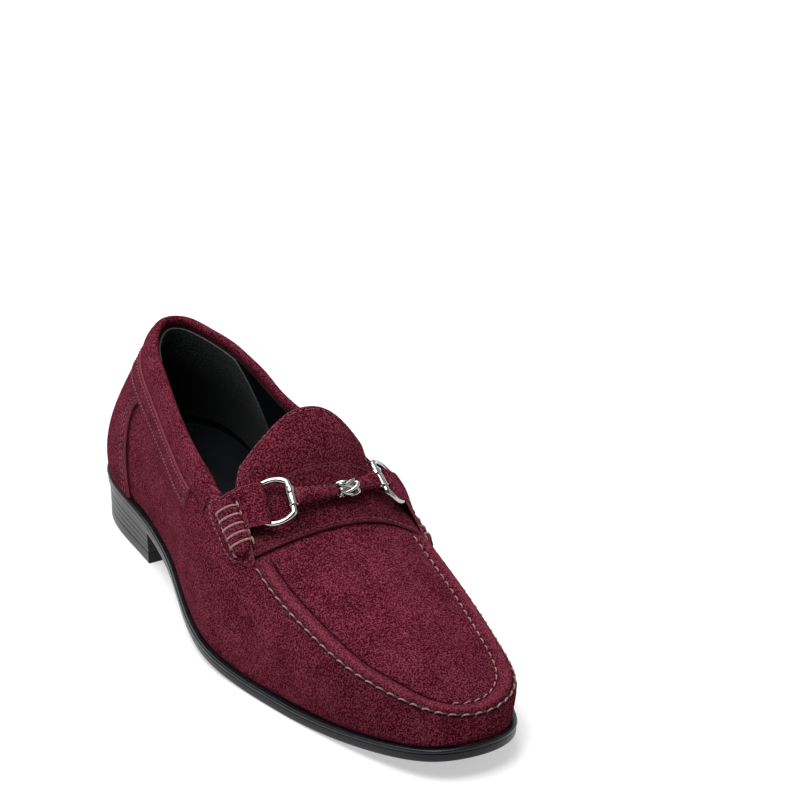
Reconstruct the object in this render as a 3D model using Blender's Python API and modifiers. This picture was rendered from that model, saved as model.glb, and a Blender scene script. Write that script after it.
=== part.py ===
"""Snaffle-bit moccasin loafer for the right foot, built as the separate pieces that a shoemaker puts together.

Shapes are worked out in millimetres as (across, forward, up). "Across" is negative on the outer (lateral) side,
"forward" is the distance from the back of the heel towards the toe, and "up" is the height above the ground.
place() turns such a point into the object's own frame in metres: +Z up, toe towards -Y, lateral side towards -X.
"""

import math

import bmesh
import bpy
import numpy as np
from mathutils import Vector

MM = 0.001
GAP = 0.35
# How far the medial side tab and the heel's curve reach past the sole's edge.
MEDIAL_OVERHANG = 2.48
HEEL_OVERHANG = 1.58

# --- Sole and heel -----------------------------------------------------------------------------------------
OUTSOLE_THICKNESS = 3.7
WELT_THICKNESS = 1.5
WELT_TOP = OUTSOLE_THICKNESS + 0.3 + WELT_THICKNESS
WELT_WIDTH = 9.0
FEATHER_INSET = 2.3
HEEL_FRONT = 71.0
TOP_LIFT_THICKNESS = 5.0
INSOLE_INSET = 7.8
INSOLE_THICKNESS = 2.0
CUSHION_THICKNESS = 3.0
SOCK_THICKNESS = 1.0
NAIL_RADIUS = 1.1
NAIL_LENGTH = 14.0

# Plan of the sole's edge, from the back of the heel round the lateral side to the toe and back: (across, forward).
SOLE_PLAN = [
    (0, 0), (-14, 2.5), (-25.5, 11.5), (-32, 28), (-34, 50), (-35.2, 75), (-38.5, 101), (-44.5, 126),
    (-49.8, 151), (-50.6, 172), (-46.5, 197), (-40.5, 224), (-33, 251), (-22.5, 281),
    (-10, 299.5), (4, 304), (18, 302), (30, 293.5), (38.5, 277), (44.5, 255), (48, 228), (48.5, 203),
    (44, 178), (35.5, 150), (29.5, 122), (28.5, 95), (31, 65), (32.5, 42), (28.5, 18.5), (16, 3.5),
]
# Height of the sole's underside above the ground: (forward, up).
SOLE_PROFILE = [(0, 17.2), (35, 16.6), (72, 15.2), (100, 11.8), (130, 7), (165, 2.4), (200, 0), (225, 0),
                (250, 1.3), (275, 4.4), (304, 9.2)]

# --- Upper -------------------------------------------------------------------------------------------------
# The upper's rim, one point for each point of SOLE_PLAN: the topline round the heel, then the moccasin seam.
RIM = [
    (4.5, 11, 86), (-1, 14, 86), (-7.5, 22.5, 85.8), (-13, 34, 85), (-18.5, 52, 83.3), (-24.3, 75, 80.8),
    (-30.2, 101, 78), (-34.3, 126, 75.3), (-36, 150, 71.5), (-36.5, 171, 61), (-35, 197, 47),
    (-31.2, 224, 39), (-25, 250.5, 32), (-14, 273.5, 26.6),
    (-2, 288.5, 23.6), (8, 294, 23), (18, 294, 23), (27, 289.5, 23.3), (37, 277.5, 25.3), (41.8, 255, 29.5),
    (44, 228, 35), (44, 203, 41.2), (41.5, 177, 51.5), (36.3, 151, 67.5), (28.3, 124, 74.5),
    (23, 97, 78.3), (22.8, 67, 81.8), (20.5, 44, 84.2), (15.5, 23, 85.6), (10.5, 13.5, 86),
]
# How far the wall leans at those points, in degrees: outwards at its foot, inwards at its rim.
LEANS = [
    (16, 24), (16, 22), (12, 20), (8, 18), (6, 16), (6, 16), (6, 18), (8, 22), (8, 26), (6, 34), (4, 38),
    (4, 42), (4, 45), (4, 48), (4, 50), (4, 50), (4, 50), (4, 48), (4, 42), (4, 36),
    (5, 30), (5, 26), (3, 22), (0, 16), (-2, 10), (0, 8), (4, 10), (8, 16), (12, 20), (16, 22),
]
SKIN = 1.2
STIFFENER_DEPTH = 1.75
STIFFENER = 1.0
LINING_DEPTH = 3.25
LINING = 0.8
GRIP_DEPTH = 5.0
GRIP = 0.8
COLLAR_WIDTH = 12.0
STRIP_WIDTH = 9.6
# Numbers along the rim (see RIM) where the collar ends, where the toe's middle is, and half the back seam's gap.
COLLAR_END = {"lateral": 8.0, "medial": 22.8}
TOE = 15.4
BACK_SEAM = 0.05
# Steps of the wall's grid along the rim, and shares of the way from a seam to the crown for the instep's grids.
STATION_STEP = 0.4
COLUMNS = [0, 0.07, 0.14, 0.22, 0.45, 0.72, 1.0]

# Ridge of the instep and toe, from the rear edge of the saddle to the middle of the toe: (across, forward, up).
RIDGE = [
    (6.6, 161, 77), (6.8, 172, 69.6), (7, 186, 61.5), (7.5, 202, 55), (8, 220, 48.6), (8.5, 240, 42), (9, 256, 37),
]
APRON_REAR = 162.5
THROAT_FRONT = 184.0
SADDLE_REAR = 163.5
SADDLE_FRONT = 186.5
LIP_HEIGHT = 1.4
LIP_WIDTH = 6.5
SEAM_GAP = 1.4

TONGUE_ROOT = (6.6, 161.4, 76.8)
TONGUE_TOP = (6.0, 145.0, 98.5)
TONGUE_LATERAL = 36.5
TONGUE_MEDIAL = 24.5
TONGUE_ARCH = 11.0

SIDES = {"lateral": -1, "medial": 1}

# --- Tabs and beef rolls -----------------------------------------------------------------------------------
# Where a value differs by side, -1 is the lateral side and 1 the medial side.
TAB_THICKNESS = 1.0
TAB_RAISE = 1.35
# Distance of a tab's top and foot below the rim.
TAB_TOP = {-1: 0.0, 1: 6.5}
TAB_FOOT = {-1: 12.0, 1: 17.0}
# Fold of a tab round its ring: half its length, its distance from the ring's straight bar, and its depth.
TAB_HALF_FOLD = 7.8
FOLD_AT = 13.2
FOLD_DEPTH = 2.4
LOOP_PLAY = 0.7
# Beef roll: half width and half height, reach forward from and to, and its place on the wall.
ROLL_PAD_HALF = (4.4, 1.6)
ROLL_PAD_SPAN = (158.5, 184.0)
ROLL_STITCHES = 5
ROLL_DOWN = {-1: 0.0, 1: 10.0}
ROLL_LIFT = {-1: 1.6, 1: 0.8}
ROLL_OFF = {-1: (-0.8, 0.25, 0.6), 1: (1.0, 0.1, 0.15)}
THREAD_RADIUS = 0.42

# --- Snaffle bit -------------------------------------------------------------------------------------------
# Places on the bit are given as (across, down the instep's slope, off the foot) from BIT_ORIGIN.
BIT_ORIGIN = (6.6, 178.0, 76.0)
INSTEP_SLOPE = 33.0
KNOT_AT = (4.5, 0.8, -3.0)
BAR_AT = {"lateral": (-21.0, -0.6, -2.6), "medial": (22.45, -2.95, -7.4)}
RING_OUT = {"lateral": (-0.90, -0.15, -0.41), "medial": (0.72, -0.02, -0.694)}
RING_BAR = {"lateral": (-0.12, 0.99, 0.0), "medial": (0.06, 1.0, 0.04)}
RING_REACH = 18.7
RING_HALF_BAR = 7.2
RING_WIRE = 1.2
BAR_WIRE = 1.6
ROD_RADIUS = 0.8
ROLL_WALL = 0.8
# Half width and half thickness of the suede rolls, at the knot and at the ring.
ROLL_SECTIONS = ((2.4, 2.1), (3.5, 2.6))
KNOT_HALF_LENGTH = 5.2
KNOT_BORE = 2.4
KNOT_RADII = (2.8, 3.3)


# --- Curves ------------------------------------------------------------------------------------------------
def closed_curve(points):
    """Smooth closed curve through the points. Returns a function of the point number, which may be fractional."""
    points = np.asarray(points, float)
    count = len(points)
    steps = np.linalg.norm(np.roll(points, -1, 0) - points, axis=1) ** 0.75
    matrix = np.zeros((count, count))
    right = np.zeros_like(points)
    for i in range(count):
        before, after = steps[i - 1], steps[i]
        ahead = (i + 1) % count
        matrix[i, i - 1] += before
        matrix[i, i] += 2 * (before + after)
        matrix[i, ahead] += after
        right[i] = 6 * ((points[ahead] - points[i]) / after - (points[i] - points[i - 1]) / before)
    bends = np.linalg.solve(matrix, right)

    def at(station):
        station = np.asarray(station, float) % count
        i = np.floor(station).astype(int) % count
        j = (i + 1) % count
        b = (station - np.floor(station))[..., None]
        a = 1 - b
        h = steps[i][..., None]
        return a * points[i] + b * points[j] + h * h / 6 * ((a**3 - a) * bends[i] + (b**3 - b) * bends[j])

    return at


def open_curve(points):
    """Smooth curve through points whose second value rises: returns a function of that value."""
    points = np.asarray(points, float)
    along = points[:, 1] if points.shape[1] == 3 else points[:, 0]
    slopes = np.gradient(points, along, axis=0)

    def at(where):
        where = np.clip(np.asarray(where, float), along[0], along[-1])
        i = np.clip(np.searchsorted(along, where, side="right") - 1, 0, len(along) - 2)
        h = (along[i + 1] - along[i])[..., None]
        t = (where[..., None] - along[i][..., None]) / h
        start = (1 + 2 * t) * (1 - t) ** 2 * points[i] + t * (1 - t) ** 2 * h * slopes[i]
        end = t * t * (3 - 2 * t) * points[i + 1] - t * t * (1 - t) * h * slopes[i + 1]
        return start + end

    return at


sole_plan = closed_curve(SOLE_PLAN)
rim_and_leans = closed_curve(np.hstack([RIM, LEANS]))
ridge = open_curve(RIDGE)
sole_profile = open_curve(SOLE_PROFILE)
STATIONS = len(SOLE_PLAN)
DENSE = np.linspace(0, STATIONS, 721)
DENSE_PLAN = sole_plan(DENSE)
CENTRE_ACROSS = (DENSE_PLAN[:, 0].min() + DENSE_PLAN[:, 0].max() + MEDIAL_OVERHANG) / 2
CENTRE_FORWARD = (DENSE_PLAN[:, 1].min() + DENSE_PLAN[:, 1].max() - HEEL_OVERHANG) / 2


def place(point):
    """(across, forward, up) in millimetres to the object's frame in metres."""
    return Vector(((point[0] - CENTRE_ACROSS) * MM, (CENTRE_FORWARD - point[1]) * MM, point[2] * MM))


def rim(station):
    return rim_and_leans(station)[..., :3]


def underside(forward):
    return np.maximum(sole_profile(forward)[..., 1], 0.0)


def station_at(forward, side):
    """The station where the rim is this far forward, on the lateral (-1) or medial (+1) side."""
    numbers = np.linspace(0.2, TOE - 0.3, 400) if side < 0 else np.linspace(STATIONS - 0.2, TOE + 0.3, 400)
    return float(np.interp(forward, rim(numbers)[:, 1], numbers))


# --- The wall of the upper ---------------------------------------------------------------------------------
def inset_plan(station, inset):
    """The sole's plan moved inwards."""
    step = 0.02
    along = sole_plan(station + step) - sole_plan(station - step)
    along = along / np.linalg.norm(along, axis=-1, keepdims=True)
    outward = np.stack([-along[..., 1], along[..., 0]], -1)
    return sole_plan(station) - outward * np.asarray(inset)[..., None], outward


def wall_section(station):
    """Section of the wall at a station: points from the rim down to the sole, and their distance below the rim."""
    foot, outward = inset_plan(station, FEATHER_INSET)
    foot = np.array([foot[0], foot[1], underside(foot[1]) + WELT_TOP + GAP])
    top = rim(station)
    lean_foot, lean_rim = np.radians(rim_and_leans(station)[3:])
    reach = np.linalg.norm(top - foot) * 1.05
    out = np.array([outward[0], outward[1], 0.0])
    up = np.array([0.0, 0.0, 1.0])
    leave = reach * (math.sin(lean_foot) * out + math.cos(lean_foot) * up)
    arrive = reach * (-math.sin(lean_rim) * out + math.cos(lean_rim) * up)
    t = np.linspace(1, 0, 61)[:, None]
    points = (1 + 2 * t) * (1 - t) ** 2 * foot + t * (1 - t) ** 2 * leave
    points = points + t * t * (3 - 2 * t) * top - t * t * (1 - t) * arrive
    below = np.concatenate([[0], np.cumsum(np.linalg.norm(np.diff(points, axis=0), axis=1))])
    return points, below


def wall_line(station, distances):
    """Points of the wall's outer surface at these distances below the rim. None means the wall's foot."""
    points, below = wall_section(station)
    distances = [below[-1] if d is None else min(d, below[-1]) for d in distances]
    return np.stack([np.interp(distances, below, points[:, k]) for k in range(3)], -1)


def wall_point(station, down, out=0.0):
    """A point on the wall, moved outwards along the surface's normal."""
    step = 0.03
    length = wall_section(station)[1][-1]
    down = min(down, length)
    high, low = max(down - 0.6, 0.0), min(down + 0.6, length)
    here = wall_line(station, [high, down, low])
    along = wall_line(station + step, [down])[0] - wall_line(station - step, [down])[0]
    normal = np.cross(along, here[0] - here[2])
    normal = normal / np.linalg.norm(normal)
    return here[1] + normal * -out


def wall_patch(stations, top, bottom, rows, out):
    """Grid on the wall between two distances below the rim, each a number or a function of the station."""
    grid = []
    for station in stations:
        high = top(station) if callable(top) else top
        low = bottom(station) if callable(bottom) else bottom
        length = wall_section(station)[1][-1]
        low = length if low is None else low
        grid.append([wall_point(station, d, out) for d in np.linspace(low, high, rows)])
    return np.array(grid)


# --- The instep and toe surface ----------------------------------------------------------------------------
def across_instep(lateral_foot, medial_foot, crown, columns, arch_lateral, arch_medial):
    """Points from the lateral seam over the crown to the medial seam. An arch is its angle at a seam, in degrees."""
    line = []
    halves = ((lateral_foot, arch_lateral, columns), (medial_foot, arch_medial, columns[::-1][1:]))
    for foot, arch, order in halves:
        span = crown - foot
        flat = math.hypot(span[0], span[1])
        fall = ridge_fall(crown[1]) * span[1] / max(flat, 1e-6)
        leave = flat * math.tan(math.radians(arch))
        for r in order:
            height = (1 + 2 * r) * (1 - r) ** 2 * foot[2] + r * (1 - r) ** 2 * leave
            height += r * r * (3 - 2 * r) * crown[2] - r * r * (1 - r) * flat * fall
            line.append((foot[0] + span[0] * r, foot[1] + span[1] * r, height))
    return line


def ridge_fall(forward):
    """Slope of the ridge, in rise per unit forward."""
    return float(ridge(forward + 0.5)[..., 2] - ridge(forward - 0.5)[..., 2])


def arches(forward):
    """Angles at which the instep leaves the lateral and the medial seam."""
    lateral = float(np.interp(forward, [162, 185, 230, 290], [22, 18, 16, 14]))
    medial = float(np.interp(forward, [162, 185, 230, 290], [42, 40, 24, 14]))
    return lateral, medial


def instep_line(forward, columns):
    """The instep surface across the foot, in front of its rear edge and behind the ridge's front end."""
    lateral, medial = rim(station_at(forward, -1)), rim(station_at(forward, 1))
    return across_instep(lateral, medial, ridge(forward), columns, *arches(forward))


def instep_grid(rear, front, rows, columns):
    return np.array([instep_line(forward, columns) for forward in np.linspace(rear, front, rows)])


def apron_grid(rear, rows, fan, columns):
    """Lines across the instep from its rear edge forward, then a fan of lines round the toe."""
    pole = float(RIDGE[-1][1])
    grid = [instep_line(forward, columns) for forward in np.linspace(rear, pole, rows)]
    for part in np.linspace(0, 1, fan + 1)[1:]:
        lateral = rim(station_at(pole, -1) * (1 - part) + TOE * part)
        medial = rim(station_at(pole, 1) * (1 - part) + TOE * part)
        grid.append(across_instep(lateral, medial, ridge(pole), columns, *arches(lateral[1])))
    return np.array(grid)


# --- Materials and mesh helpers ----------------------------------------------------------------------------
SUEDE = ("burgundy_suede", (0.115, 0.012, 0.028), 0.95, 0.0)
BLACK_LEATHER = ("black_leather", (0.012, 0.012, 0.013), 0.45, 0.0)
SOLE_RUBBER = ("black_sole", (0.015, 0.015, 0.016), 0.35, 0.0)
HEEL_STACK = ("heel_stack", (0.02, 0.02, 0.022), 0.5, 0.0)
GREY_SUEDE = ("charcoal_suede", (0.03, 0.031, 0.033), 0.95, 0.0)
THREAD = ("waxed_thread", (0.25, 0.09, 0.09), 0.7, 0.0)
STEEL = ("spring_steel", (0.45, 0.46, 0.48), 0.35, 1.0)
GUNMETAL = ("gunmetal", (0.36, 0.36, 0.38), 0.18, 1.0)
FIBREBOARD = ("fibreboard", (0.42, 0.3, 0.18), 0.85, 0.0)
FOAM = ("foam", (0.7, 0.66, 0.55), 0.9, 0.0)
CORK = ("cork", (0.38, 0.24, 0.13), 0.9, 0.0)


def material(finish):
    name, colour, roughness, metallic = finish
    found = bpy.data.materials.get(name)
    if found:
        return found
    found = bpy.data.materials.new(name)
    found.use_nodes = True
    shader = found.node_tree.nodes["Principled BSDF"]
    shader.inputs["Base Color"].default_value = (*colour, 1)
    shader.inputs["Roughness"].default_value = roughness
    shader.inputs["Metallic"].default_value = metallic
    found.diffuse_color = (*colour, 1)
    return found


def new_collection(name, hidden=False):
    collection = bpy.data.collections.new(name)
    collection.hide_render = hidden
    bpy.context.scene.collection.children.link(collection)
    return collection


def add_mesh(name, mesh, finish, collection):
    piece = bpy.data.objects.new(name, mesh)
    mesh.materials.append(material(finish))
    mesh.shade_smooth()
    mesh.set_sharp_from_angle(angle=math.radians(35))
    collection.objects.link(piece)
    return piece


def grid_mesh(name, grid, wrap=False, raise_by=None):
    """Mesh over a grid of points, whose equal points are shared. raise_by moves each along its normal."""
    bm = bmesh.new()
    made, amounts = {}, {}
    heights = np.zeros(grid.shape[:2]) if raise_by is None else raise_by
    rows = []
    for points, lifts in zip(grid, heights):
        row = []
        for point, lift in zip(points, lifts):
            key = tuple(np.round(point, 2))
            if key not in made:
                made[key] = bm.verts.new(place(point))
                amounts[made[key]] = lift * MM
            row.append(made[key])
        rows.append(row)
    if wrap:
        rows.append(rows[0])
    for first, second in zip(rows, rows[1:]):
        for i in range(len(first) - 1):
            corners = list(dict.fromkeys((first[i], second[i], second[i + 1], first[i + 1])))
            if len(corners) > 2 and not bm.faces.get(corners):
                bm.faces.new(corners)
    bm.normal_update()
    for vertex, move in [(vertex, vertex.normal * amount) for vertex, amount in amounts.items()]:
        vertex.co += move
    mesh = bpy.data.meshes.new(name)
    bm.to_mesh(mesh)
    bm.free()
    return mesh


def shell(name, grid, thickness, finish, collection, wrap=False, raise_by=None):
    """Closed shell: the grid is its outer surface, and Solidify gives it its thickness inwards."""
    piece = add_mesh(name, grid_mesh(name, grid, wrap, raise_by), finish, collection)
    solidify = piece.modifiers.new("Thickness", "SOLIDIFY")
    solidify.thickness = thickness * MM
    solidify.offset = -1
    return piece


def edges_at(forward, inset):
    """The lateral and medial edges of the inset sole plan at this distance forward."""
    plan, _ = inset_plan(DENSE, inset)
    tip = int(np.argmax(plan[:, 1]))
    lateral, medial = plan[: tip + 1], plan[tip:][::-1]
    low = max(lateral[:, 1].min(), medial[:, 1].min())
    forward = np.clip(forward, low, plan[tip, 1])
    rising_lateral, rising_medial = np.argsort(lateral[:, 1]), np.argsort(medial[:, 1])
    left = np.interp(forward, lateral[rising_lateral, 1], lateral[rising_lateral, 0])
    right = np.interp(forward, medial[rising_medial, 1], medial[rising_medial, 0])
    return left, right


def slab(name, span, inset, bottom, top, finish, collection, rows=26, inset_bottom=None):
    """Plate over the sole's plan, between two distances forward. bottom and top are functions of forward."""
    plan, _ = inset_plan(DENSE, inset)
    start, end = max(span[0], plan[:, 1].min() + 0.35), min(span[1], plan[:, 1].max() - 0.35)
    turn = (1 - np.cos(np.linspace(0, math.pi, rows))) / 2
    forwards = start + (end - start) * turn
    left, right = edges_at(forwards, inset)
    low_left, low_right = edges_at(forwards, inset if inset_bottom is None else inset_bottom)
    bm = bmesh.new()
    loops = []
    for i, forward in enumerate(forwards):
        corners = ((left[i], top), (right[i], top), (low_right[i], bottom), (low_left[i], bottom))
        loops.append([bm.verts.new(place((x, forward, float(level(forward))))) for x, level in corners])
    for first, second in zip(loops, loops[1:]):
        for i in range(4):
            bm.faces.new((first[i], first[(i + 1) % 4], second[(i + 1) % 4], second[i]))
    bm.faces.new(loops[0][::-1])
    bm.faces.new(loops[-1])
    bmesh.ops.recalc_face_normals(bm, faces=bm.faces)
    mesh = bpy.data.meshes.new(name)
    bm.to_mesh(mesh)
    bm.free()
    return add_mesh(name, mesh, finish, collection)


def ring_band(name, stations, insets, bottom, thickness, finish, collection):
    """Flat ring along the sole's edge, between two insets."""
    grid = []
    for station in stations:
        line = []
        for inset in insets:
            (x, y), _ = inset_plan(station, inset)
            line.append((x, y, float(underside(y)) + bottom + thickness))
        grid.append(line)
    return shell(name, np.array(grid), thickness, finish, collection, wrap=True)


def tube(name, points, radius, finish, collection, cyclic=False, sides=2):
    """Round bar along points, given in millimetres."""
    curve = bpy.data.curves.new(name, "CURVE")
    curve.dimensions = "3D"
    curve.bevel_depth = radius * MM
    curve.bevel_resolution = sides
    curve.use_fill_caps = not cyclic
    spline = curve.splines.new("POLY")
    spline.points.add(len(points) - 1)
    for target, point in zip(spline.points, points):
        target.co = (*place(point), 1)
    spline.use_cyclic_u = cyclic
    curve.materials.append(material(finish))
    piece = bpy.data.objects.new(name, curve)
    collection.objects.link(piece)
    return piece


def combine(piece, other, operation):
    modifier = piece.modifiers.new(operation.title(), "BOOLEAN")
    modifier.operation = operation
    modifier.object = other
    other.hide_render = True
    other.display_type = "WIRE"


def cylinder(name, radius, length, centre, finish, collection, vertices=12):
    bm = bmesh.new()
    bmesh.ops.create_cone(bm, cap_ends=True, segments=vertices, radius1=radius * MM, radius2=radius * MM,
                          depth=length * MM)
    mesh = bpy.data.meshes.new(name)
    bm.to_mesh(mesh)
    bm.free()
    piece = add_mesh(name, mesh, finish, collection)
    piece.location = place(centre)
    return piece


# --- Sole and heel -----------------------------------------------------------------------------------------
def level(height):
    """A height above the sole's underside, as a function of the distance forward."""
    return lambda forward: float(underside(forward)) + height


def heel_nail_places():
    """Five nails in a horseshoe inside the heel seat: (across, forward)."""
    places = []
    for angle in (-100, -50, 0, 50, 100):
        turn = math.radians(angle)
        places.append((17 * math.sin(turn), 30 - 16 * math.cos(turn)))
    return places


def build_sole(parts, cutters):
    stations = np.linspace(0, STATIONS, 72, endpoint=False)
    outsole = slab("outsole", (0, 400), 0, level(0), level(OUTSOLE_THICKNESS), SOLE_RUBBER, parts, 44, 1.0)
    ring_band("welt", stations, (0.3, WELT_WIDTH), OUTSOLE_THICKNESS + 0.3, WELT_THICKNESS, SOLE_RUBBER, parts)
    heel = slab("heel_block", (0, HEEL_FRONT), 1.0, lambda forward: TOP_LIFT_THICKNESS + 0.3, level(-0.3),
                HEEL_STACK, parts, 20, 1.6)
    slab("heel_top_lift", (0, HEEL_FRONT), 1.6, lambda forward: 0.0, lambda forward: TOP_LIFT_THICKNESS,
         SOLE_RUBBER, parts, 20, 1.8)
    filling = OUTSOLE_THICKNESS + 0.3
    for name, span, rows in (("forepart_filler", (158, 292), 16), ("heel_seat_filler", (9, 60), 10)):
        slab(name, span, WELT_WIDTH + 0.5, level(filling), level(filling + 1.3), CORK, parts, rows)
    strip = [[(x, f, float(underside(f)) + filling + 1.2) for x in (-9, 7)] for f in np.linspace(65, 153, 12)]
    shell("shank", np.array(strip), 1.1, STEEL, parts)
    slab("insole_board", (0, 400), INSOLE_INSET, level(WELT_TOP + GAP), level(WELT_TOP + GAP + INSOLE_THICKNESS),
         FIBREBOARD, parts, 32)
    top = WELT_TOP + 2 * GAP + INSOLE_THICKNESS
    slab("heel_cushion", (14, 78), INSOLE_INSET + 3, level(top), level(top + CUSHION_THICKNESS), FOAM, parts, 12)

    def sock_bottom(forward):
        rise = np.interp(forward, [80, 100], [CUSHION_THICKNESS + GAP, 0])
        return float(underside(forward)) + top + float(rise)

    def sock_top(forward):
        return sock_bottom(forward) + SOCK_THICKNESS

    slab("sock_liner", (0, 400), INSOLE_INSET + 2.4, sock_bottom, sock_top, BLACK_LEATHER, parts, 34)
    for number, (across, forward) in enumerate(heel_nail_places(), 1):
        head = float(underside(forward)) + OUTSOLE_THICKNESS - 0.2
        centre = (across, forward, head - NAIL_LENGTH / 2)
        cylinder(f"heel_nail_{number}", NAIL_RADIUS, NAIL_LENGTH, centre, STEEL, parts, 8)
        hole = (across, forward, centre[2] + 2)
        bore = cylinder(f"nail_bore_{number}", NAIL_RADIUS + 0.4, NAIL_LENGTH + 5, hole, STEEL, cutters, 8)
        combine(outsole, bore, "DIFFERENCE")
        combine(heel, bore, "DIFFERENCE")


# --- Upper -------------------------------------------------------------------------------------------------
def around(start, end):
    """Stations between two stations, on steps that every layer of the wall shares, so that their facets line up."""
    first, last = math.floor(start / STATION_STEP) + 1, math.ceil(end / STATION_STEP) - 1
    return [start] + [k * STATION_STEP for k in range(first, last + 1)] + [end]


def vamp_top(station):
    """The vamp stops under the collar at the sides and reaches the moccasin seam in front of the tabs."""
    ahead = min(station - COLLAR_END["lateral"], COLLAR_END["medial"] - station)
    return float(np.interp(ahead, [0, STATION_STEP], [COLLAR_WIDTH + GAP, 0.0]))


def build_upper(parts):
    foot = above_foot(0.5)
    under_strip = COLLAR_WIDTH + STRIP_WIDTH + 0.6
    whole = around(BACK_SEAM, STATIONS - BACK_SEAM)
    shell("vamp", wall_patch(whole, vamp_top, None, 5, 0), SKIN, SUEDE, parts)
    collar = around(COLLAR_END["medial"] + 0.1, STATIONS + COLLAR_END["lateral"] - 0.1)
    shell("collar_band", wall_patch(collar, 0, COLLAR_WIDTH, 3, 0), SKIN, SUEDE, parts)
    shell("collar_foam", wall_patch(collar, 2.5, COLLAR_WIDTH - 1, 3, -STIFFENER_DEPTH), STIFFENER, FOAM, parts)
    strip = wall_patch(around(STATIONS - 6.2, STATIONS + 7.2), COLLAR_WIDTH + 0.6, COLLAR_WIDTH + STRIP_WIDTH, 2, 1.4)
    shell("collar_strip", strip, 0.9, SUEDE, parts)
    foxing = around(STATIONS - 3.6, STATIONS + 3.6)
    shell("heel_foxing", wall_patch(foxing, under_strip, above_foot(0.7), 4, 1.4), 0.9, SUEDE, parts)
    counter = wall_patch(around(STATIONS - 4.4, STATIONS + 4.4), COLLAR_WIDTH + 1, foot, 4, -STIFFENER_DEPTH)
    shell("heel_counter", counter, STIFFENER, FIBREBOARD, parts)
    puff = around(11.8, 19.2)
    shell("toe_puff", wall_patch(puff, 3, foot, 4, -STIFFENER_DEPTH), STIFFENER, FIBREBOARD, parts)
    quarter = around(23.0, STATIONS + 7.8)
    shell("quarter_lining", wall_patch(quarter, 0.5, foot, 5, -LINING_DEPTH), LINING, BLACK_LEATHER, parts)
    lining = around(7.9, 22.9)
    shell("vamp_lining", wall_patch(lining, 4, foot, 4, -LINING_DEPTH), LINING, BLACK_LEATHER, parts)
    grip = around(STATIONS - 4.2, STATIONS + 4.2)
    shell("heel_grip", wall_patch(grip, 5, above_foot(9), 4, -GRIP_DEPTH), GRIP, GREY_SUEDE, parts)


def above_foot(rise):
    """The distance below the rim of a line that runs this far above the wall's foot."""
    return lambda station: wall_section(station)[1][-1] - rise


def lip(grid):
    """Height of the raised moccasin lip along the grid's two outer edges, starting in front of the saddle."""
    rise = np.zeros(grid.shape[:2])
    count = len(COLUMNS)
    for i, row in enumerate(grid):
        ahead = float(np.interp(row[0][1], [THROAT_FRONT, THROAT_FRONT + 6], [0, 1]))
        for j in range(count):
            reach = COLUMNS[j] * np.linalg.norm(row[count - 1] - row[0])
            bump = LIP_HEIGHT * ahead * math.sin(math.pi * min(reach / LIP_WIDTH, 1))
            rise[i, j] = bump
            rise[i, -1 - j] = bump
    return rise


def build_instep(parts):
    grid = apron_grid(APRON_REAR, 18, 10, COLUMNS)
    shell("apron", pull_in(grid, SEAM_GAP), SKIN, SUEDE, parts, raise_by=lip(grid))
    inner = COLUMNS[1:]
    lining = apron_grid(APRON_REAR + 1, 14, 8, inner)
    below = np.full(lining.shape[:2], -SKIN - 0.5)
    shell("apron_lining", lining, LINING, BLACK_LEATHER, parts, raise_by=below)
    saddle = instep_grid(SADDLE_REAR, SADDLE_FRONT, 5, [0.2, 0.3, 0.42, 0.6, 0.8, 1.0])
    above = np.full(saddle.shape[:2], 1.35 + LIP_HEIGHT * 0.15)
    shell("saddle_strap", saddle, 1.0, SUEDE, parts, raise_by=above)


def pull_in(grid, amount):
    """Moves the ends of each line a little towards the crown, to leave the seam's gap."""
    grid = grid.copy()
    for row in grid:
        for end, inner in ((0, 1), (-1, -2)):
            step = row[inner] - row[end]
            row[end] += step * min(amount / max(np.linalg.norm(step), 1e-6), 0.5)
    return grid


def tongue_grid(rows=7, columns=11):
    """Grid of the tongue from its free top down to its root, with its corners rounded off."""
    root, tip = np.array(TONGUE_ROOT), np.array(TONGUE_TOP)
    grid = []
    for j in range(rows):
        line = []
        for xi in np.linspace(-1, 1, columns):
            t = j / (rows - 1) * (1 - 0.42 * abs(xi) ** 3.2)
            width = TONGUE_LATERAL if xi < 0 else TONGUE_MEDIAL
            arch = TONGUE_ARCH * xi * xi * (1 if xi < 0 else 1.15)
            centre = root + (tip - root) * t
            bow = 1.6 * math.sin(math.pi * t)
            back = 3.5 * xi * xi * t
            line.append((centre[0] + width * xi, centre[1] - back + bow * 0.8, centre[2] - arch + bow * 0.6))
        grid.append(line)
    return np.array(grid)[::-1]


def build_tongue(parts, hinge):
    tongue = tongue_grid()
    below = np.full(tongue.shape[:2], -SKIN - 0.35)
    outer = shell("tongue", tongue, SKIN, SUEDE, parts)
    inner = shell("tongue_lining", tongue, LINING, BLACK_LEATHER, parts, raise_by=below)
    for piece in (outer, inner):
        keep_place_under(piece, hinge)


def keep_place_under(piece, parent):
    """Parents the piece without moving it."""
    bpy.context.view_layer.update()
    world = piece.matrix_world.copy()
    piece.parent = parent
    piece.matrix_parent_inverse = parent.matrix_world.inverted()
    piece.matrix_world = world


def joint_empty(name, point, collection):
    empty = bpy.data.objects.new(name, None)
    empty.location = place(point)
    empty.empty_display_size = 0.01
    collection.objects.link(empty)
    return empty


# --- Tabs and beef rolls -----------------------------------------------------------------------------------
def on_bit(offset):
    """Turns (across, down the instep's slope, off the foot) into (across, forward, up)."""
    slope = math.radians(INSTEP_SLOPE)
    down_slope = np.array([0, math.cos(slope), -math.sin(slope)])
    off_foot = np.array([0, math.sin(slope), math.cos(slope)])
    return np.array([offset[0], 0, 0]) + down_slope * offset[1] + off_foot * offset[2]


def unit(vector):
    return np.asarray(vector) / np.linalg.norm(vector)


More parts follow.
